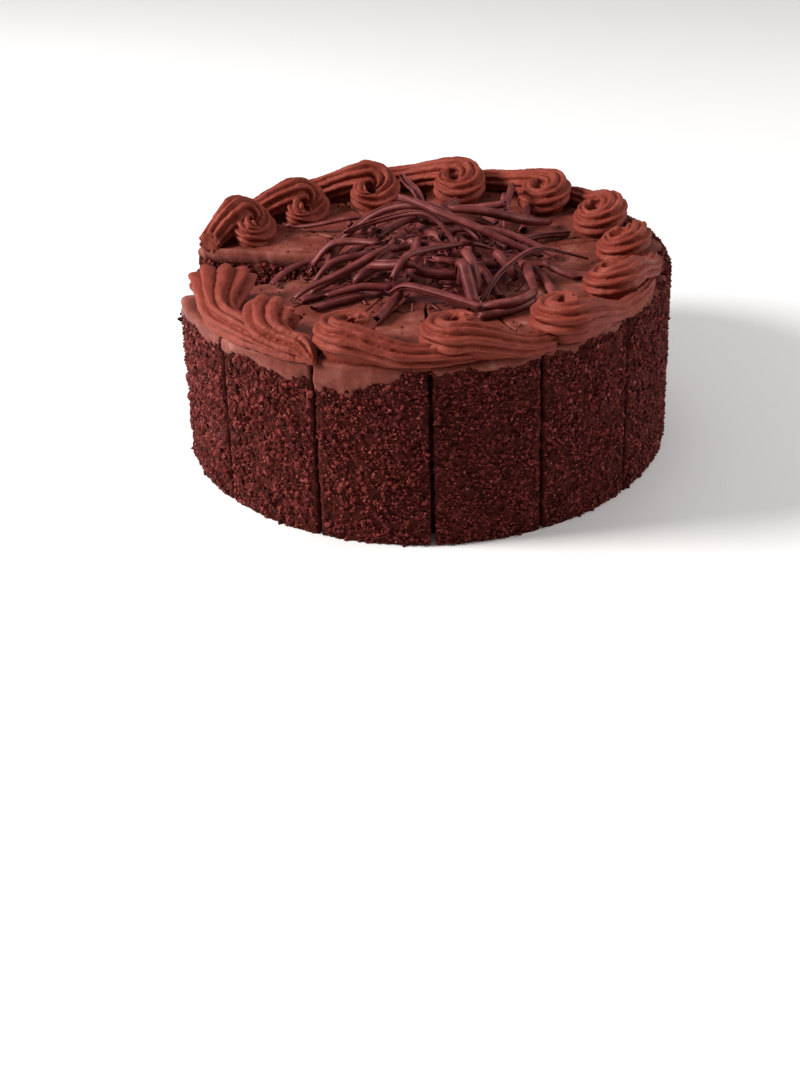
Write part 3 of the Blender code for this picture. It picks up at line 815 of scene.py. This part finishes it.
def make_side_crumbs(materials):
    """Crumbs pressed all over the side, coarser towards the missing slice, with a pale kind whose lighter
    colour is partly its own tone and partly painted glints.
    """
    def coarse(chance, angle):
        least, most = COARSE_RADIUS
        share = np.clip((COARSE_END - angle) / COARSE_FADE, COARSE_LEAST, 1.0)
        return least + (most - least) * share * chance.uniform(0.2, 1, len(angle))

    def fine(chance, angle):
        return chance.uniform(*FINE_RADIUS, len(angle))

    kinds = (
        ("crumbs_coarse", COARSE_CRUMBS, coarse, "dark crumbs", False, 41),
        ("crumbs_fine", FINE_CRUMBS, fine, "dark crumbs", True, 42),
        # The pale kind: partly its own lighter tone, partly painted glints.
        ("crumbs_pale_glints", PALE_GLINT_CRUMBS, fine, "pale crumbs with painted glints", True, 43),
    )
    for name, count, radii, finish, small, seed in kinds:
        chance = np.random.default_rng(seed)
        places, sizes = side_places(chance, count, radii)
        make_crumbs(name, places, sizes, materials[finish], "icing", seed + 10, small)


def make_rim_crumbs(materials):
    """Crumbs spilt over the rim where the swirls stand back from it."""
    chance = np.random.default_rng(45)
    count = RIM_CRUMBS
    angle = np.radians(chance.uniform(CUTS[0], CUTS[-1], count))
    reach = chance.uniform(TOP_RADIUS - RIM_STRIP, TOP_RADIUS, count)
    inward = np.maximum(reach - (TOP_RADIUS - SHOULDER), 0) / SHOULDER
    x, y = around(angle, reach)
    drop = SHOULDER * (1 - np.sqrt(1 - inward * inward))
    size = chance.uniform(*RIM_RADIUS, count)
    places = np.stack([x, y, top_at(x, y) - drop + 0.1 * size], -1)
    kept = crumb_cover(places) > chance.uniform(0.1, 1.0, count)
    finish = materials["dark crumbs"]
    make_crumbs("crumbs_on_rim", places[kept], size[kept], finish, "icing", 46, True)


def make_slot_crumb(finish):
    """The crumb that closes each cut a little way in, so that no light falls through."""
    points = []
    faces = []
    share = np.linspace(0.0, SLOT_TOP, SLOT_ROWS)
    spread = np.array(SLOT_WIDTHS) * SLOT_LAP
    round_it = 2 * len(SLOT_WIDTHS)
    for index, cut in enumerate(CUTS[1:-1]):
        angle = math.radians(cut)
        shells = []
        for depth, rough in ((SLOT_OUTER, SLOT_ROUGH), (SLOT_INNER, 0.0)):
            place = np.array(outward(angle))[None, None] * depth
            place = place + np.array(along(angle))[None, None] * (spread * SLOT_HALF_RIM)[None, :, None]
            place = np.repeat(place, SLOT_ROWS, 0)
            place[..., 2] = share[:, None] * top_at(place[..., 0], place[..., 1])
            noise = rough * waves(place + index, 0.0030, 91)
            noise += 0.6 * rough * waves(place + index, 0.0012, 92)
            shells.append(place + np.array(outward(angle))[None, None] * noise[..., None])
        ring = np.concatenate([shells[0], shells[1][:, ::-1]], 1)
        start = len(points) * SLOT_ROWS * round_it
        points.append(ring.reshape(-1, 3))
        faces.append(grid_faces(SLOT_ROWS, round_it, start, True))
        faces += [start + face for face in end_faces(round_it, (SLOT_ROWS - 1) * round_it)]
    new_piece("slot_crumb", np.concatenate(points), faces, finish, "sponge")


def make_face_crumbs(materials):
    """Loose crumb on the two faces where the slice is missing, with little of it on the fillings."""
    chance = np.random.default_rng(51)
    edge_left = 0.002
    border = 0.005
    on_filling = 0.10
    count = FACE_CRUMBS // 2
    places = []
    radii = []
    for cut, side in ((CUTS[0], -1.0), (CUTS[-1], 1.0)):
        angle = math.radians(cut)
        reach = HUB_RADIUS + (FOOT_RADIUS - HUB_RADIUS - edge_left) * chance.uniform(0, 1, count) ** 0.7
        share = chance.uniform(0.01, UNDER_ICING, count)
        creamy = np.zeros(count, bool)
        for name, low, high in LAYERS:
            if name.startswith("filling"):
                near = (share > low - border) & (share < high + border)
                creamy |= near & (reach < SPONGE_RADIUS)
        keep = ~creamy | (chance.uniform(0, 1, count) < on_filling)
        size = chance.uniform(*FACE_RADIUS, count)
        base = np.array(outward(angle))[None] * reach[:, None]
        off = np.array(along(angle))[None] * (side * (0.15 * size - slot_half(reach)))[:, None]
        place = base + off
        place[:, 2] = share * top_at(place[:, 0], place[:, 1])
        places.append(place[keep])
        radii.append(size[keep])
    places = np.concatenate(places)
    radii = np.concatenate(radii)
    make_crumbs("crumbs_on_faces", places, radii, materials["dark crumbs"], "sponge", 52)


def make_top_crumbs(materials):
    """A few fine crumbs lying on the top, most beside the slots."""
    chance = np.random.default_rng(61)
    count = TOP_CRUMBS
    cut = np.radians(chance.choice(CUTS, count))
    reach = chance.uniform(*TOP_REACH, count)
    angle = cut + chance.normal(0, BESIDE_CUT, count) / reach
    loose = chance.uniform(0, 1, count) < LOOSE_SHARE
    angle = np.where(loose, np.radians(chance.uniform(CUTS[0] + 1, CUTS[-1] - 1, count)), angle)
    size = chance.uniform(*TOP_CRUMB_RADIUS, count)
    x, y = around(angle, reach)
    margin = 0.6
    kept = (np.degrees(angle) > CUTS[0] + margin) & (np.degrees(angle) < CUTS[-1] - margin)
    places = np.stack([x, y, top_at(x, y) + 0.3 * size], -1)[kept]
    make_crumbs("crumbs_on_top", places, size[kept], materials["dark crumbs"], "icing", 62)


# The piped swirls

def swirl_end(index):
    """The angle at which a swirl gives way to the next, or to the cut after the last of them."""
    if index + 1 == len(HEADS):
        return math.radians(CUTS[-1])
    head, _, before = HEADS[index + 1][:3]
    return math.radians(head - before)


def swirl_path(index):
    """Places and rope radii along one swirl, from the start of its coil to the tip of its tail."""
    angle, distance, _, size, lean, edge, thin, rise, under = HEADS[index]
    head = math.radians(angle)
    tilt = math.radians(lean)
    meeting = swirl_end(index)
    tip = meeting + math.radians(under)
    climb = outward(head) * math.cos(tilt) + Vector((0, 0, 1)) * math.sin(tilt)
    face = Vector((0, 0, 1)) * math.cos(tilt) - outward(head) * math.sin(tilt)
    centre = outward(head) * distance
    height = min(HEAD_TOP - COIL_END[0] * math.sin(tilt) - COIL_END[1], HEAD_SIT) * size
    centre.z = top_at(centre.x, centre.y) + height
    places = []
    radii = []
    for step in range(COIL_STEPS + 1):
        share = step / COIL_STEPS
        grown = 1 - (1 - share) ** COIL_GROWTH
        turn = COIL_TURN[0] + (COIL_TURN[1] - COIL_TURN[0]) * share
        reach = (COIL_START[0] + (COIL_END[0] - COIL_START[0]) * grown) * size
        offset = (along(head) * math.cos(turn) + climb * math.sin(turn)) * reach
        places.append(centre + offset + face * (COIL_RISE * size * (1 - grown)))
        radii.append((COIL_START[1] + (COIL_END[1] - COIL_START[1]) * grown) * size)
    thick = COIL_END[1] * size
    far = distance + COIL_END[0] * size * math.cos(tilt)
    high = height + COIL_END[0] * size * math.sin(tilt)
    low = thin * rise
    parting = (meeting - head) / (tip - head)
    for step in range(1, TAIL_STEPS + 1):
        share = step / TAIL_STEPS
        way = min(1.0, share / parting)
        ease = way * way * (3 - 2 * way)
        past = max(0.0, share - parting) / (1 - parting)
        sunk = past * past
        rope = thick + (thin - thick) * way ** TAIL_FALL
        rope = rope + (TAIL_TIP - rope) * sunk
        radius = far + (edge - thin - far) * ease
        radius = radius + (TIP_REACH - radius) * sunk * TIP_DRAW
        drop = high + (low - high) * ease - low * sunk
        place = outward(head + (tip - head) * share) * radius
        places.append(place + Vector((0, 0, top_at(place.x, place.y) + drop)))
        radii.append(rope)
    return np.array(places), np.array(radii)


def fan_path(index):
    """Places, rope radii and widths along a swirl that starts as a fan and narrows to its tail."""
    angle, distance, half, height, delay = FANS[index]
    edge, thin, rise, under = HEADS[index][5:]
    meeting = swirl_end(index)
    start = math.radians(angle)
    tip = meeting + math.radians(under)
    places = []
    radii = []
    widths = []
    for step in range(FAN_STEPS + 1):
        share = step / FAN_STEPS
        way = min(1.0, share * (tip - start) / (meeting - start))
        ease = way * way * (3 - 2 * way)
        past = max(0.0, share * (tip - start) - (meeting - start)) / (tip - meeting)
        rope = FAN_ROPE + (thin - FAN_ROPE) * ease
        rope = rope + (TAIL_TIP - rope) * past * past
        wide = 1 + (half / FAN_ROPE - 1) * (1 - ease) ** FAN_NARROWING
        out = 1 - (1 - min(1.0, share / FAN_TURNED)) ** 2
        reach = distance + (edge - rope * wide - distance) * out
        lift = height + (thin * rise - height) * ease - thin * rise * past * past
        place = outward(start + (tip - start) * share ** delay) * reach
        places.append(place + Vector((0, 0, top_at(place.x, place.y) + lift)))
        radii.append(rope)
        widths.append(wide)
    return np.array(places), np.array(radii), np.array(widths)


def star_rope(places, radii, seed, widths=None):
    """A closed rope with the ridges that a star nozzle leaves, and petals where a broad one starts."""
    sides = SWIRL_RIDGES * RIDGE_POINTS
    heading, side, up = directions(places)
    angle = np.arange(sides) * math.tau / sides
    if widths is None:
        widths = np.ones(len(places))
    ridge = 1 - RIDGE_DEPTH * (1 - np.abs(np.sin(SWIRL_RIDGES / 2 * angle)) ** RIDGE_SHARPNESS)
    travel = np.arange(len(places))
    drift = travel[:, None] * ROPE_DRIFT
    ring = np.stack(np.broadcast_arrays(drift, np.cos(angle)[None], np.sin(angle)[None]), -1)
    uneven = 1 + 0.035 * waves(ring, 0.45, seed) + 0.03 * waves(ring, 0.16, seed + 1)
    reach = radii[:, None] * ridge[None] * uneven
    points = places[:, None] + side[:, None] * (reach * widths[:, None] * np.cos(angle))[..., None]
    points = points + up[:, None] * (reach * np.sin(angle))[..., None]
    resting = np.minimum(points[..., 2], top_at(points[..., 0], points[..., 1]) - REST_DEPTH)
    points[..., 2] = np.where(np.sin(angle)[None] < REST_BELOW, resting, points[..., 2])
    petal = np.floor(angle * SWIRL_RIDGES / math.tau)
    ragged = hashed(np.stack([petal, petal * 0 + seed, petal * 0], -1), 5) * 2 - 1
    narrow, broad = PETAL_WIDTHS
    breadth = np.clip((widths - narrow) / (broad - narrow), 0, 1)
    fade = np.clip(1 - travel / PETAL_STEPS, 0, 1)[:, None] * breadth[:, None]
    points = points + heading[:, None] * (FAN_PETALS * ragged[None] * fade)[..., None]
    rows = len(places)
    faces = [grid_faces(rows, sides, 0, True)] + end_faces(sides, (rows - 1) * sides)
    return points.reshape(-1, 3), faces


def one_skin(shape, cell, triangles):
    """Makes shapes that run through one another one skin, and keeps about this many triangles."""
    skin = shape.modifiers.new("one skin", "REMESH")
    skin.mode = "VOXEL"
    skin.voxel_size = cell
    apply_modifiers(shape)
    fewer = shape.modifiers.new("fewer faces", "DECIMATE")
    fewer.ratio = min(1.0, triangles / (2 * len(shape.data.polygons)))
    apply_modifiers(shape)
    shape.data.shade_smooth()


def cut_flat(shape, cut, side):
    """Flattens what stands past a cut of the missing slice onto the face of that cut."""
    away = np.array(along(math.radians(cut)))
    points = vertex_values(shape, "co")
    past = (points @ away) * side
    limit = -0.0006 + 0.0005 * waves(points, 0.003, 71)
    over = np.maximum(past - limit, 0)
    move_vertices(shape, points - away[None] * (over * side)[:, None])


def roughen(shape, seed):
    """Raises the fine grain and small tears of whipped icing over a shape's surface."""
    points = vertex_values(shape, "co")
    ways = vertex_values(shape, "normal")
    grain = 0.00022 * waves(points, 0.0012, seed) + 0.00028 * waves(points, 0.0045, seed + 1)
    pits = np.clip(waves(points, 0.0016, seed + 2) - 0.55, 0, 1) * 0.0012
    move_vertices(shape, points + ways * (grain - pits)[:, None])


def make_swirls(finish):
    for index in range(len(HEADS)):
        if index < len(FANS):
            places, radii, widths = fan_path(index)
        else:
            places, radii = swirl_path(index)
            widths = None
        points, faces = star_rope(places, radii, 100 + 7 * index, widths)
        name = f"swirl_{index + 1:02d}"
        swirl = new_piece(name + "_piped", points, faces, finish, "piping", name)
        one_skin(swirl, SWIRL_CELL, SWIRL_TRIANGLES)
        roughen(swirl, 300 + 11 * index)
        if index == 0:
            cut_flat(swirl, CUTS[0], -1.0)
        if index + 1 == len(HEADS):
            cut_flat(swirl, CUTS[-1], 1.0)


# The curls

def core_edge(angle):
    away = np.degrees(angle) % 360 - GAP_MIDDLE
    notch = CORE_NOTCH * np.exp(-((away / CORE_NOTCH_SPREAD) ** 2))
    return CORE_EDGE - notch + 0.003 * np.sin(3 * angle) + 0.002 * np.sin(5 * angle + 1)


def core_height(x, y):
    """Height of the core's top over the icing, and zero beyond its edge."""
    share = np.hypot(x, y) / core_edge(np.arctan2(x, -y))
    crown = CORE_RIM + CORE_CROWN * np.clip(1 - share * share, 0, 1) ** CORE_ROUND
    return np.where(share > 1, 0.0, crown)


def make_core(finish):
    """The low dark mound of broken bits that carries the curls."""
    rows = 40
    columns = 110
    share = np.linspace(1, 0.02, rows)[:, None]
    angle = (np.arange(columns) * math.tau / columns)[None]
    reach = core_edge(angle) * share
    x, y = around(angle, reach)
    height = CORE_RIM * 0.3 + CORE_CROWN * np.clip(1 - share * share, 0, 1) ** CORE_ROUND
    flat = np.stack([x, y, np.zeros_like(x)], -1)
    rough = 0.0016 * lumps(flat, 0.0042, 81) + 0.0008 * waves(flat, 0.0020, 82) - 0.0012
    top = np.stack([x, y, top_at(x, y) + height + rough], -1)
    under = np.stack([x[0], y[0], top_at(x[0], y[0]) - 0.002], -1)
    points = np.concatenate([under, top.reshape(-1, 3)])
    faces = [grid_faces(rows + 1, columns, 0, True)] + end_faces(columns, rows * columns)
    return new_piece("curl_core", points, faces, finish, "curls", "shavings")


def taut(distances, heights):
    """The line that a stiff curl takes over these heights, without dips between them."""
    kept = [0]
    for i in range(1, len(distances)):
        while len(kept) > 1:
            a, b = kept[-2], kept[-1]
            rise = (heights[b] - heights[a]) * (distances[i] - distances[a])
            if rise <= (heights[i] - heights[a]) * (distances[b] - distances[a]):
                kept.pop()
            else:
                break
        kept.append(i)
    line = np.interp(distances, distances[kept], heights[kept])
    for _ in range(SMOOTHINGS):
        line[1:-1] = (line[:-2] + 2 * line[1:-1] + line[2:]) / 4
    return line


def loose_curls(chance, count, reach, lengths, radii):
    """Short curls spread over the core and turned every way, in the units of the curls' table."""
    rows = []
    for i in range(count):
        place = outward(i * GOLDEN_ANGLE + 0.4) * reach * math.sqrt((i + 0.5) / count)
        half = along(chance.uniform(0, math.pi)) * chance.uniform(*lengths) / 2
        start = (place - half) * 1000
        end = (place + half) * 1000
        bow = chance.uniform(-3, 3)
        radius = chance.uniform(*radii) * 1000
        rows.append((start.x, start.y, end.x, end.y, bow, radius, 0))
    return rows


def lay_curls(rows):
    """Lays the curls one on another, in order, and gives each one's path and radius."""
    cells = int(round(2 * FIELD_HALF / FIELD_CELL)) + 1
    line = np.linspace(-FIELD_HALF, FIELD_HALF, cells)
    grid_x, grid_y = np.meshgrid(line, line, indexing="ij")
    field = core_height(grid_x, grid_y)
    share = np.linspace(0, 1, CURL_POINTS)
    steps_per_metre = 2000
    laid = []
    for row in rows:
        x0, y0, x1, y1, bow, radius, lift = (value / 1000 for value in row)
        radius *= CURL_GIRTH
        length = math.hypot(x1 - x0, y1 - y0)
        across = np.array((-(y1 - y0), x1 - x0)) / length
        arc = bow * 4 * share * (1 - share)
        x = x0 + (x1 - x0) * share + across[0] * arc
        y = y0 + (y1 - y0) * share + across[1] * arc
        height = np.full(len(share), radius * 0.9)
        for offset in (-0.7 * radius, 0.0, 0.7 * radius):
            i = np.rint((x + across[0] * offset + FIELD_HALF) / FIELD_CELL).astype(int)
            j = np.rint((y + across[1] * offset + FIELD_HALF) / FIELD_CELL).astype(int)
            height = np.maximum(height, field[i, j] + radius - CURL_SINK)
        height = taut(share * length, height) + lift * (1 - share) ** 1.5
        for here in np.linspace(0, 1, int(length * steps_per_metre)):
            near_x = np.interp(here, share, x)
            near_y = np.interp(here, share, y)
            under = (grid_x - near_x) ** 2 + (grid_y - near_y) ** 2 < radius**2
            field[under] = np.maximum(field[under], np.interp(here, share, height) + 0.8 * radius)
        laid.append((np.stack([x, y, top_at(x, y) + height], -1), radius))
    return laid


def roll_section(turns, thickness, count):
    """Outline of a rolled sheet of unit radius: out along the roll and back along its inside."""
    turn = np.linspace(0, turns * math.tau, count)
    reach = 1 - ROLL_TIGHTENING * turn / math.tau
    outer = np.stack([np.cos(turn), np.sin(turn)], -1) * reach[:, None]
    inner = np.stack([np.cos(turn), np.sin(turn)], -1) * (reach - thickness)[:, None]
    return np.concatenate([outer, inner[::-1]])


def rolled(chance, places, radius):
    """One curl: a thin sheet rolled along its path, narrower and slanted at its ends."""
    length = np.linalg.norm(np.diff(places, axis=0), axis=1).sum()
    rows = max(8, int(length / CURL_ROW))
    steps = np.linspace(0, 1, rows)
    line = np.stack([np.interp(steps, np.linspace(0, 1, len(places)), places[:, k]) for k in range(3)], -1)
    short = length < SHORT_CURL
    turns = chance.uniform(*(SHORT_TURNS if short else ROLL_TURNS))
    section = roll_section(turns, ROLL_THICKNESS, ROLL_POINTS)
    flat = chance.uniform(*(SHORT_FLATNESS if short else ROLL_FLATNESS))
    ends = SHORT_ENDS if short else ROLL_ENDS
    taper = ends + (1 - ends) * np.sin(math.pi * np.clip(steps, 0.0, 1.0)) ** 0.6
    if not short and chance.uniform() < 0.5:
        taper = taper * (1 - 0.25 * steps)
    spin = chance.uniform(0, math.tau) + chance.uniform(-ROLL_TWIST, ROLL_TWIST) * steps
    heading, side, up = directions(line)
    cos, sin = np.cos(spin)[:, None], np.sin(spin)[:, None]
    a = section[:, 0][None] * cos - section[:, 1][None] * sin
    b = (section[:, 0][None] * sin + section[:, 1][None] * cos) * flat
    size = radius * taper[:, None]
    points = line[:, None] + side[:, None] * (a * size)[..., None] + up[:, None] * (b * size)[..., None]
    slant = chance.uniform(-1.0, 1.0, 2) * radius
    ragged = radius * ROLL_RAGGED * chance.uniform(-1, 1, section.shape[0])
    points[0] += heading[0] * (slant[0] * section[:, 0] + ragged)[:, None]
    points[-1] += heading[-1] * (slant[1] * section[:, 0] + ragged)[:, None]
    count = len(section)
    caps = end_faces(count, (rows - 1) * count)
    return points.reshape(-1, 3), grid_faces(rows, count, 0, True), caps


def make_curls(materials):
    chance = np.random.default_rng(14)
    rows = loose_curls(chance, FILLERS, FILLER_REACH, FILLER_LENGTHS, FILLER_RADII)
    rows += list(CURLS)
    points = []
    quads = []
    caps = []
    count = 0
    for places, radius in lay_curls(rows):
        new_points, new_quads, new_caps = rolled(chance, places, radius)
        points.append(new_points)
        quads.append(new_quads + count)
        caps += [cap + count for cap in new_caps]
        count += len(new_points)
    faces = [np.concatenate(quads), np.concatenate(caps)]
    new_piece("curls_rolled", np.concatenate(points), faces, materials["curls"], "curls", "shavings")


def make_splinters(finish):
    """Small flat splinters and broken bits lying over and round the heap."""
    chance = np.random.default_rng(91)
    count = SPLINTERS
    angle = chance.uniform(0, math.tau, count)
    reach = SPLINTER_REACH * np.sqrt(chance.uniform(0, 1, count))
    x, y = around(angle, reach)
    on_icing = np.abs(np.degrees(angle) - GAP_MIDDLE) > CUTS[0] - GAP_MIDDLE
    kept = on_icing | (reach < core_edge(angle) - 0.002)
    length = chance.uniform(*SPLINTER_LENGTHS, count)
    width = chance.uniform(*SPLINTER_WIDTHS, count)
    thick = chance.uniform(*SPLINTER_THICKNESS, count)
    points, faces = ball(False)
    shape = points[None] * chance.uniform(0.75, 1.2, (count, len(points), 1))
    shape = shape * np.stack([length, width, thick], -1)[:, None]
    tilt = chance.normal(0, SPLINTER_TILT, count)
    turn = chance.uniform(0, math.tau, count)
    cos, sin = np.cos(tilt), np.sin(tilt)
    bent = np.stack([
        shape[..., 0] * cos[:, None],
        shape[..., 1],
        shape[..., 2] + shape[..., 0] * sin[:, None],
    ], -1)
    cos, sin = np.cos(turn)[:, None], np.sin(turn)[:, None]
    laid = np.stack([
        bent[..., 0] * cos - bent[..., 1] * sin,
        bent[..., 0] * sin + bent[..., 1] * cos,
        bent[..., 2],
    ], -1)
    height = top_at(x, y) + core_height(x, y) * 1.25 + 0.0006
    laid = laid + np.stack([x, y, height], -1)[:, None]
    laid = laid[kept]
    all_faces = faces[None] + (np.arange(len(laid)) * len(points))[:, None, None]
    new_piece("curl_splinters", laid.reshape(-1, 3), [all_faces.reshape(-1, 3)], finish, "curls")


# The room

def make_floor(finish):
    half = 3.0
    points = np.array([(-half, -half, 0.0), (half, -half, 0.0), (half, half, 0.0), (-half, half, 0.0)])
    mesh = bpy.data.meshes.new("floor")
    mesh.from_pydata(points.tolist(), [], [(0, 1, 2, 3)])
    mesh.materials.append(finish)
    floor = bpy.data.objects.new("floor", mesh)
    bpy.context.scene.collection.objects.link(floor)


def make_light(name, place, size, power, colour):
    data = bpy.data.lights.new(name, "AREA")
    data.shape = "DISK"
    data.size = size
    data.energy = power
    data.color = colour
    light = bpy.data.objects.new(name, data)
    light.location = place
    light.rotation_mode = "QUATERNION"
    light.rotation_quaternion = (Vector((0, 0, 0.05)) - Vector(place)).to_track_quat("-Z", "Y")
    bpy.context.scene.collection.objects.link(light)


def make_room(finish):
    make_floor(finish)
    make_light("key", (-1.30, -0.10, 0.92), 0.50, 42.0, (1.0, 0.97, 0.95))
    make_light("right", (1.20, 0.10, 0.70), 0.6, 9.0, (1.0, 0.97, 0.94))
    make_light("overhead", (0.0, 0.3, 1.8), 1.2, 5.5, (1.0, 1.0, 1.0))
    world = bpy.data.worlds.new("studio")
    world.use_nodes = True
    background = world.node_tree.nodes["Background"]
    background.inputs["Color"].default_value = (1.0, 1.0, 1.0, 1.0)
    background.inputs["Strength"].default_value = 0.26
    bpy.context.scene.world = world
    bpy.context.scene.view_settings.view_transform = "Standard"


def make_camera():
    """The photograph's camera, turned so that the cake's middle falls on its place in the frame."""
    back = Vector((0, -math.cos(CAMERA_ELEVATION), math.sin(CAMERA_ELEVATION)))
    place = Vector((0, 0, HEIGHT / 2)) + back * CAMERA_DISTANCE
    forward = -back
    right = Vector((1, 0, 0))
    up = right.cross(forward)
    yaw = math.atan2(CAMERA_AIM[0] - SHORT_SIDE_PIXELS / 2, FOCAL_PIXELS)
    pitch = math.atan2(CAMERA_AIM[1] - LONG_SIDE_PIXELS / 2, FOCAL_PIXELS)
    turn = Matrix.Rotation(yaw, 3, up)
    forward = turn @ forward
    right = turn @ right
    turn = Matrix.Rotation(pitch, 3, right)
    forward = turn @ forward
    up = turn @ up
    right, up = (
        right * math.cos(CAMERA_ROLL) + up * math.sin(CAMERA_ROLL),
        up * math.cos(CAMERA_ROLL) - right * math.sin(CAMERA_ROLL),
    )
    data = bpy.data.cameras.new("camera")
    data.sensor_width = SENSOR
    data.lens = FOCAL_PIXELS * SENSOR / LONG_SIDE_PIXELS
    camera = bpy.data.objects.new("camera", data)
    turned_to = Matrix((right, up, -forward)).transposed().to_4x4()
    camera.matrix_world = Matrix.Translation(place) @ turned_to
    bpy.context.scene.collection.objects.link(camera)
    bpy.context.scene.camera = camera


def main():
    materials = {
        "icing": icing_material(),
        "piping": piping_material(),
        "sponge": sponge_material(),
        "filling": filling_material(),
        "curls": curl_material(),
        "dark crumbs": crumb_material(
            "dark crumbs", (0.026, 0.003, 0.003), (0.095, 0.013, 0.011), (0.190, 0.032, 0.027), 0.60),
        # The pale crumbs' lighter colours are partly their own tone and partly painted highlight.
        "pale crumbs with painted glints": crumb_material(
            "pale crumbs with painted glints", (0.090, 0.013, 0.012), (0.180, 0.030, 0.027), (0.320, 0.075, 0.068), 0.48),
    }
    make_camera()
    make_room(floor_material())
    for name, low, high in LAYERS:
        slot = name.split("_")[0]
        make_layer(name, low, high, materials[slot], slot)
    make_icing(materials["icing"], materials["sponge"])
    make_hub(materials["icing"])
    make_side_crumbs(materials)
    make_rim_crumbs(materials)
    make_slot_crumb(materials["sponge"])
    make_face_crumbs(materials)
    make_top_crumbs(materials)
    make_swirls(materials["piping"])
    make_core(materials["curls"])
    make_curls(materials)
    make_splinters(materials["curls"])


main()
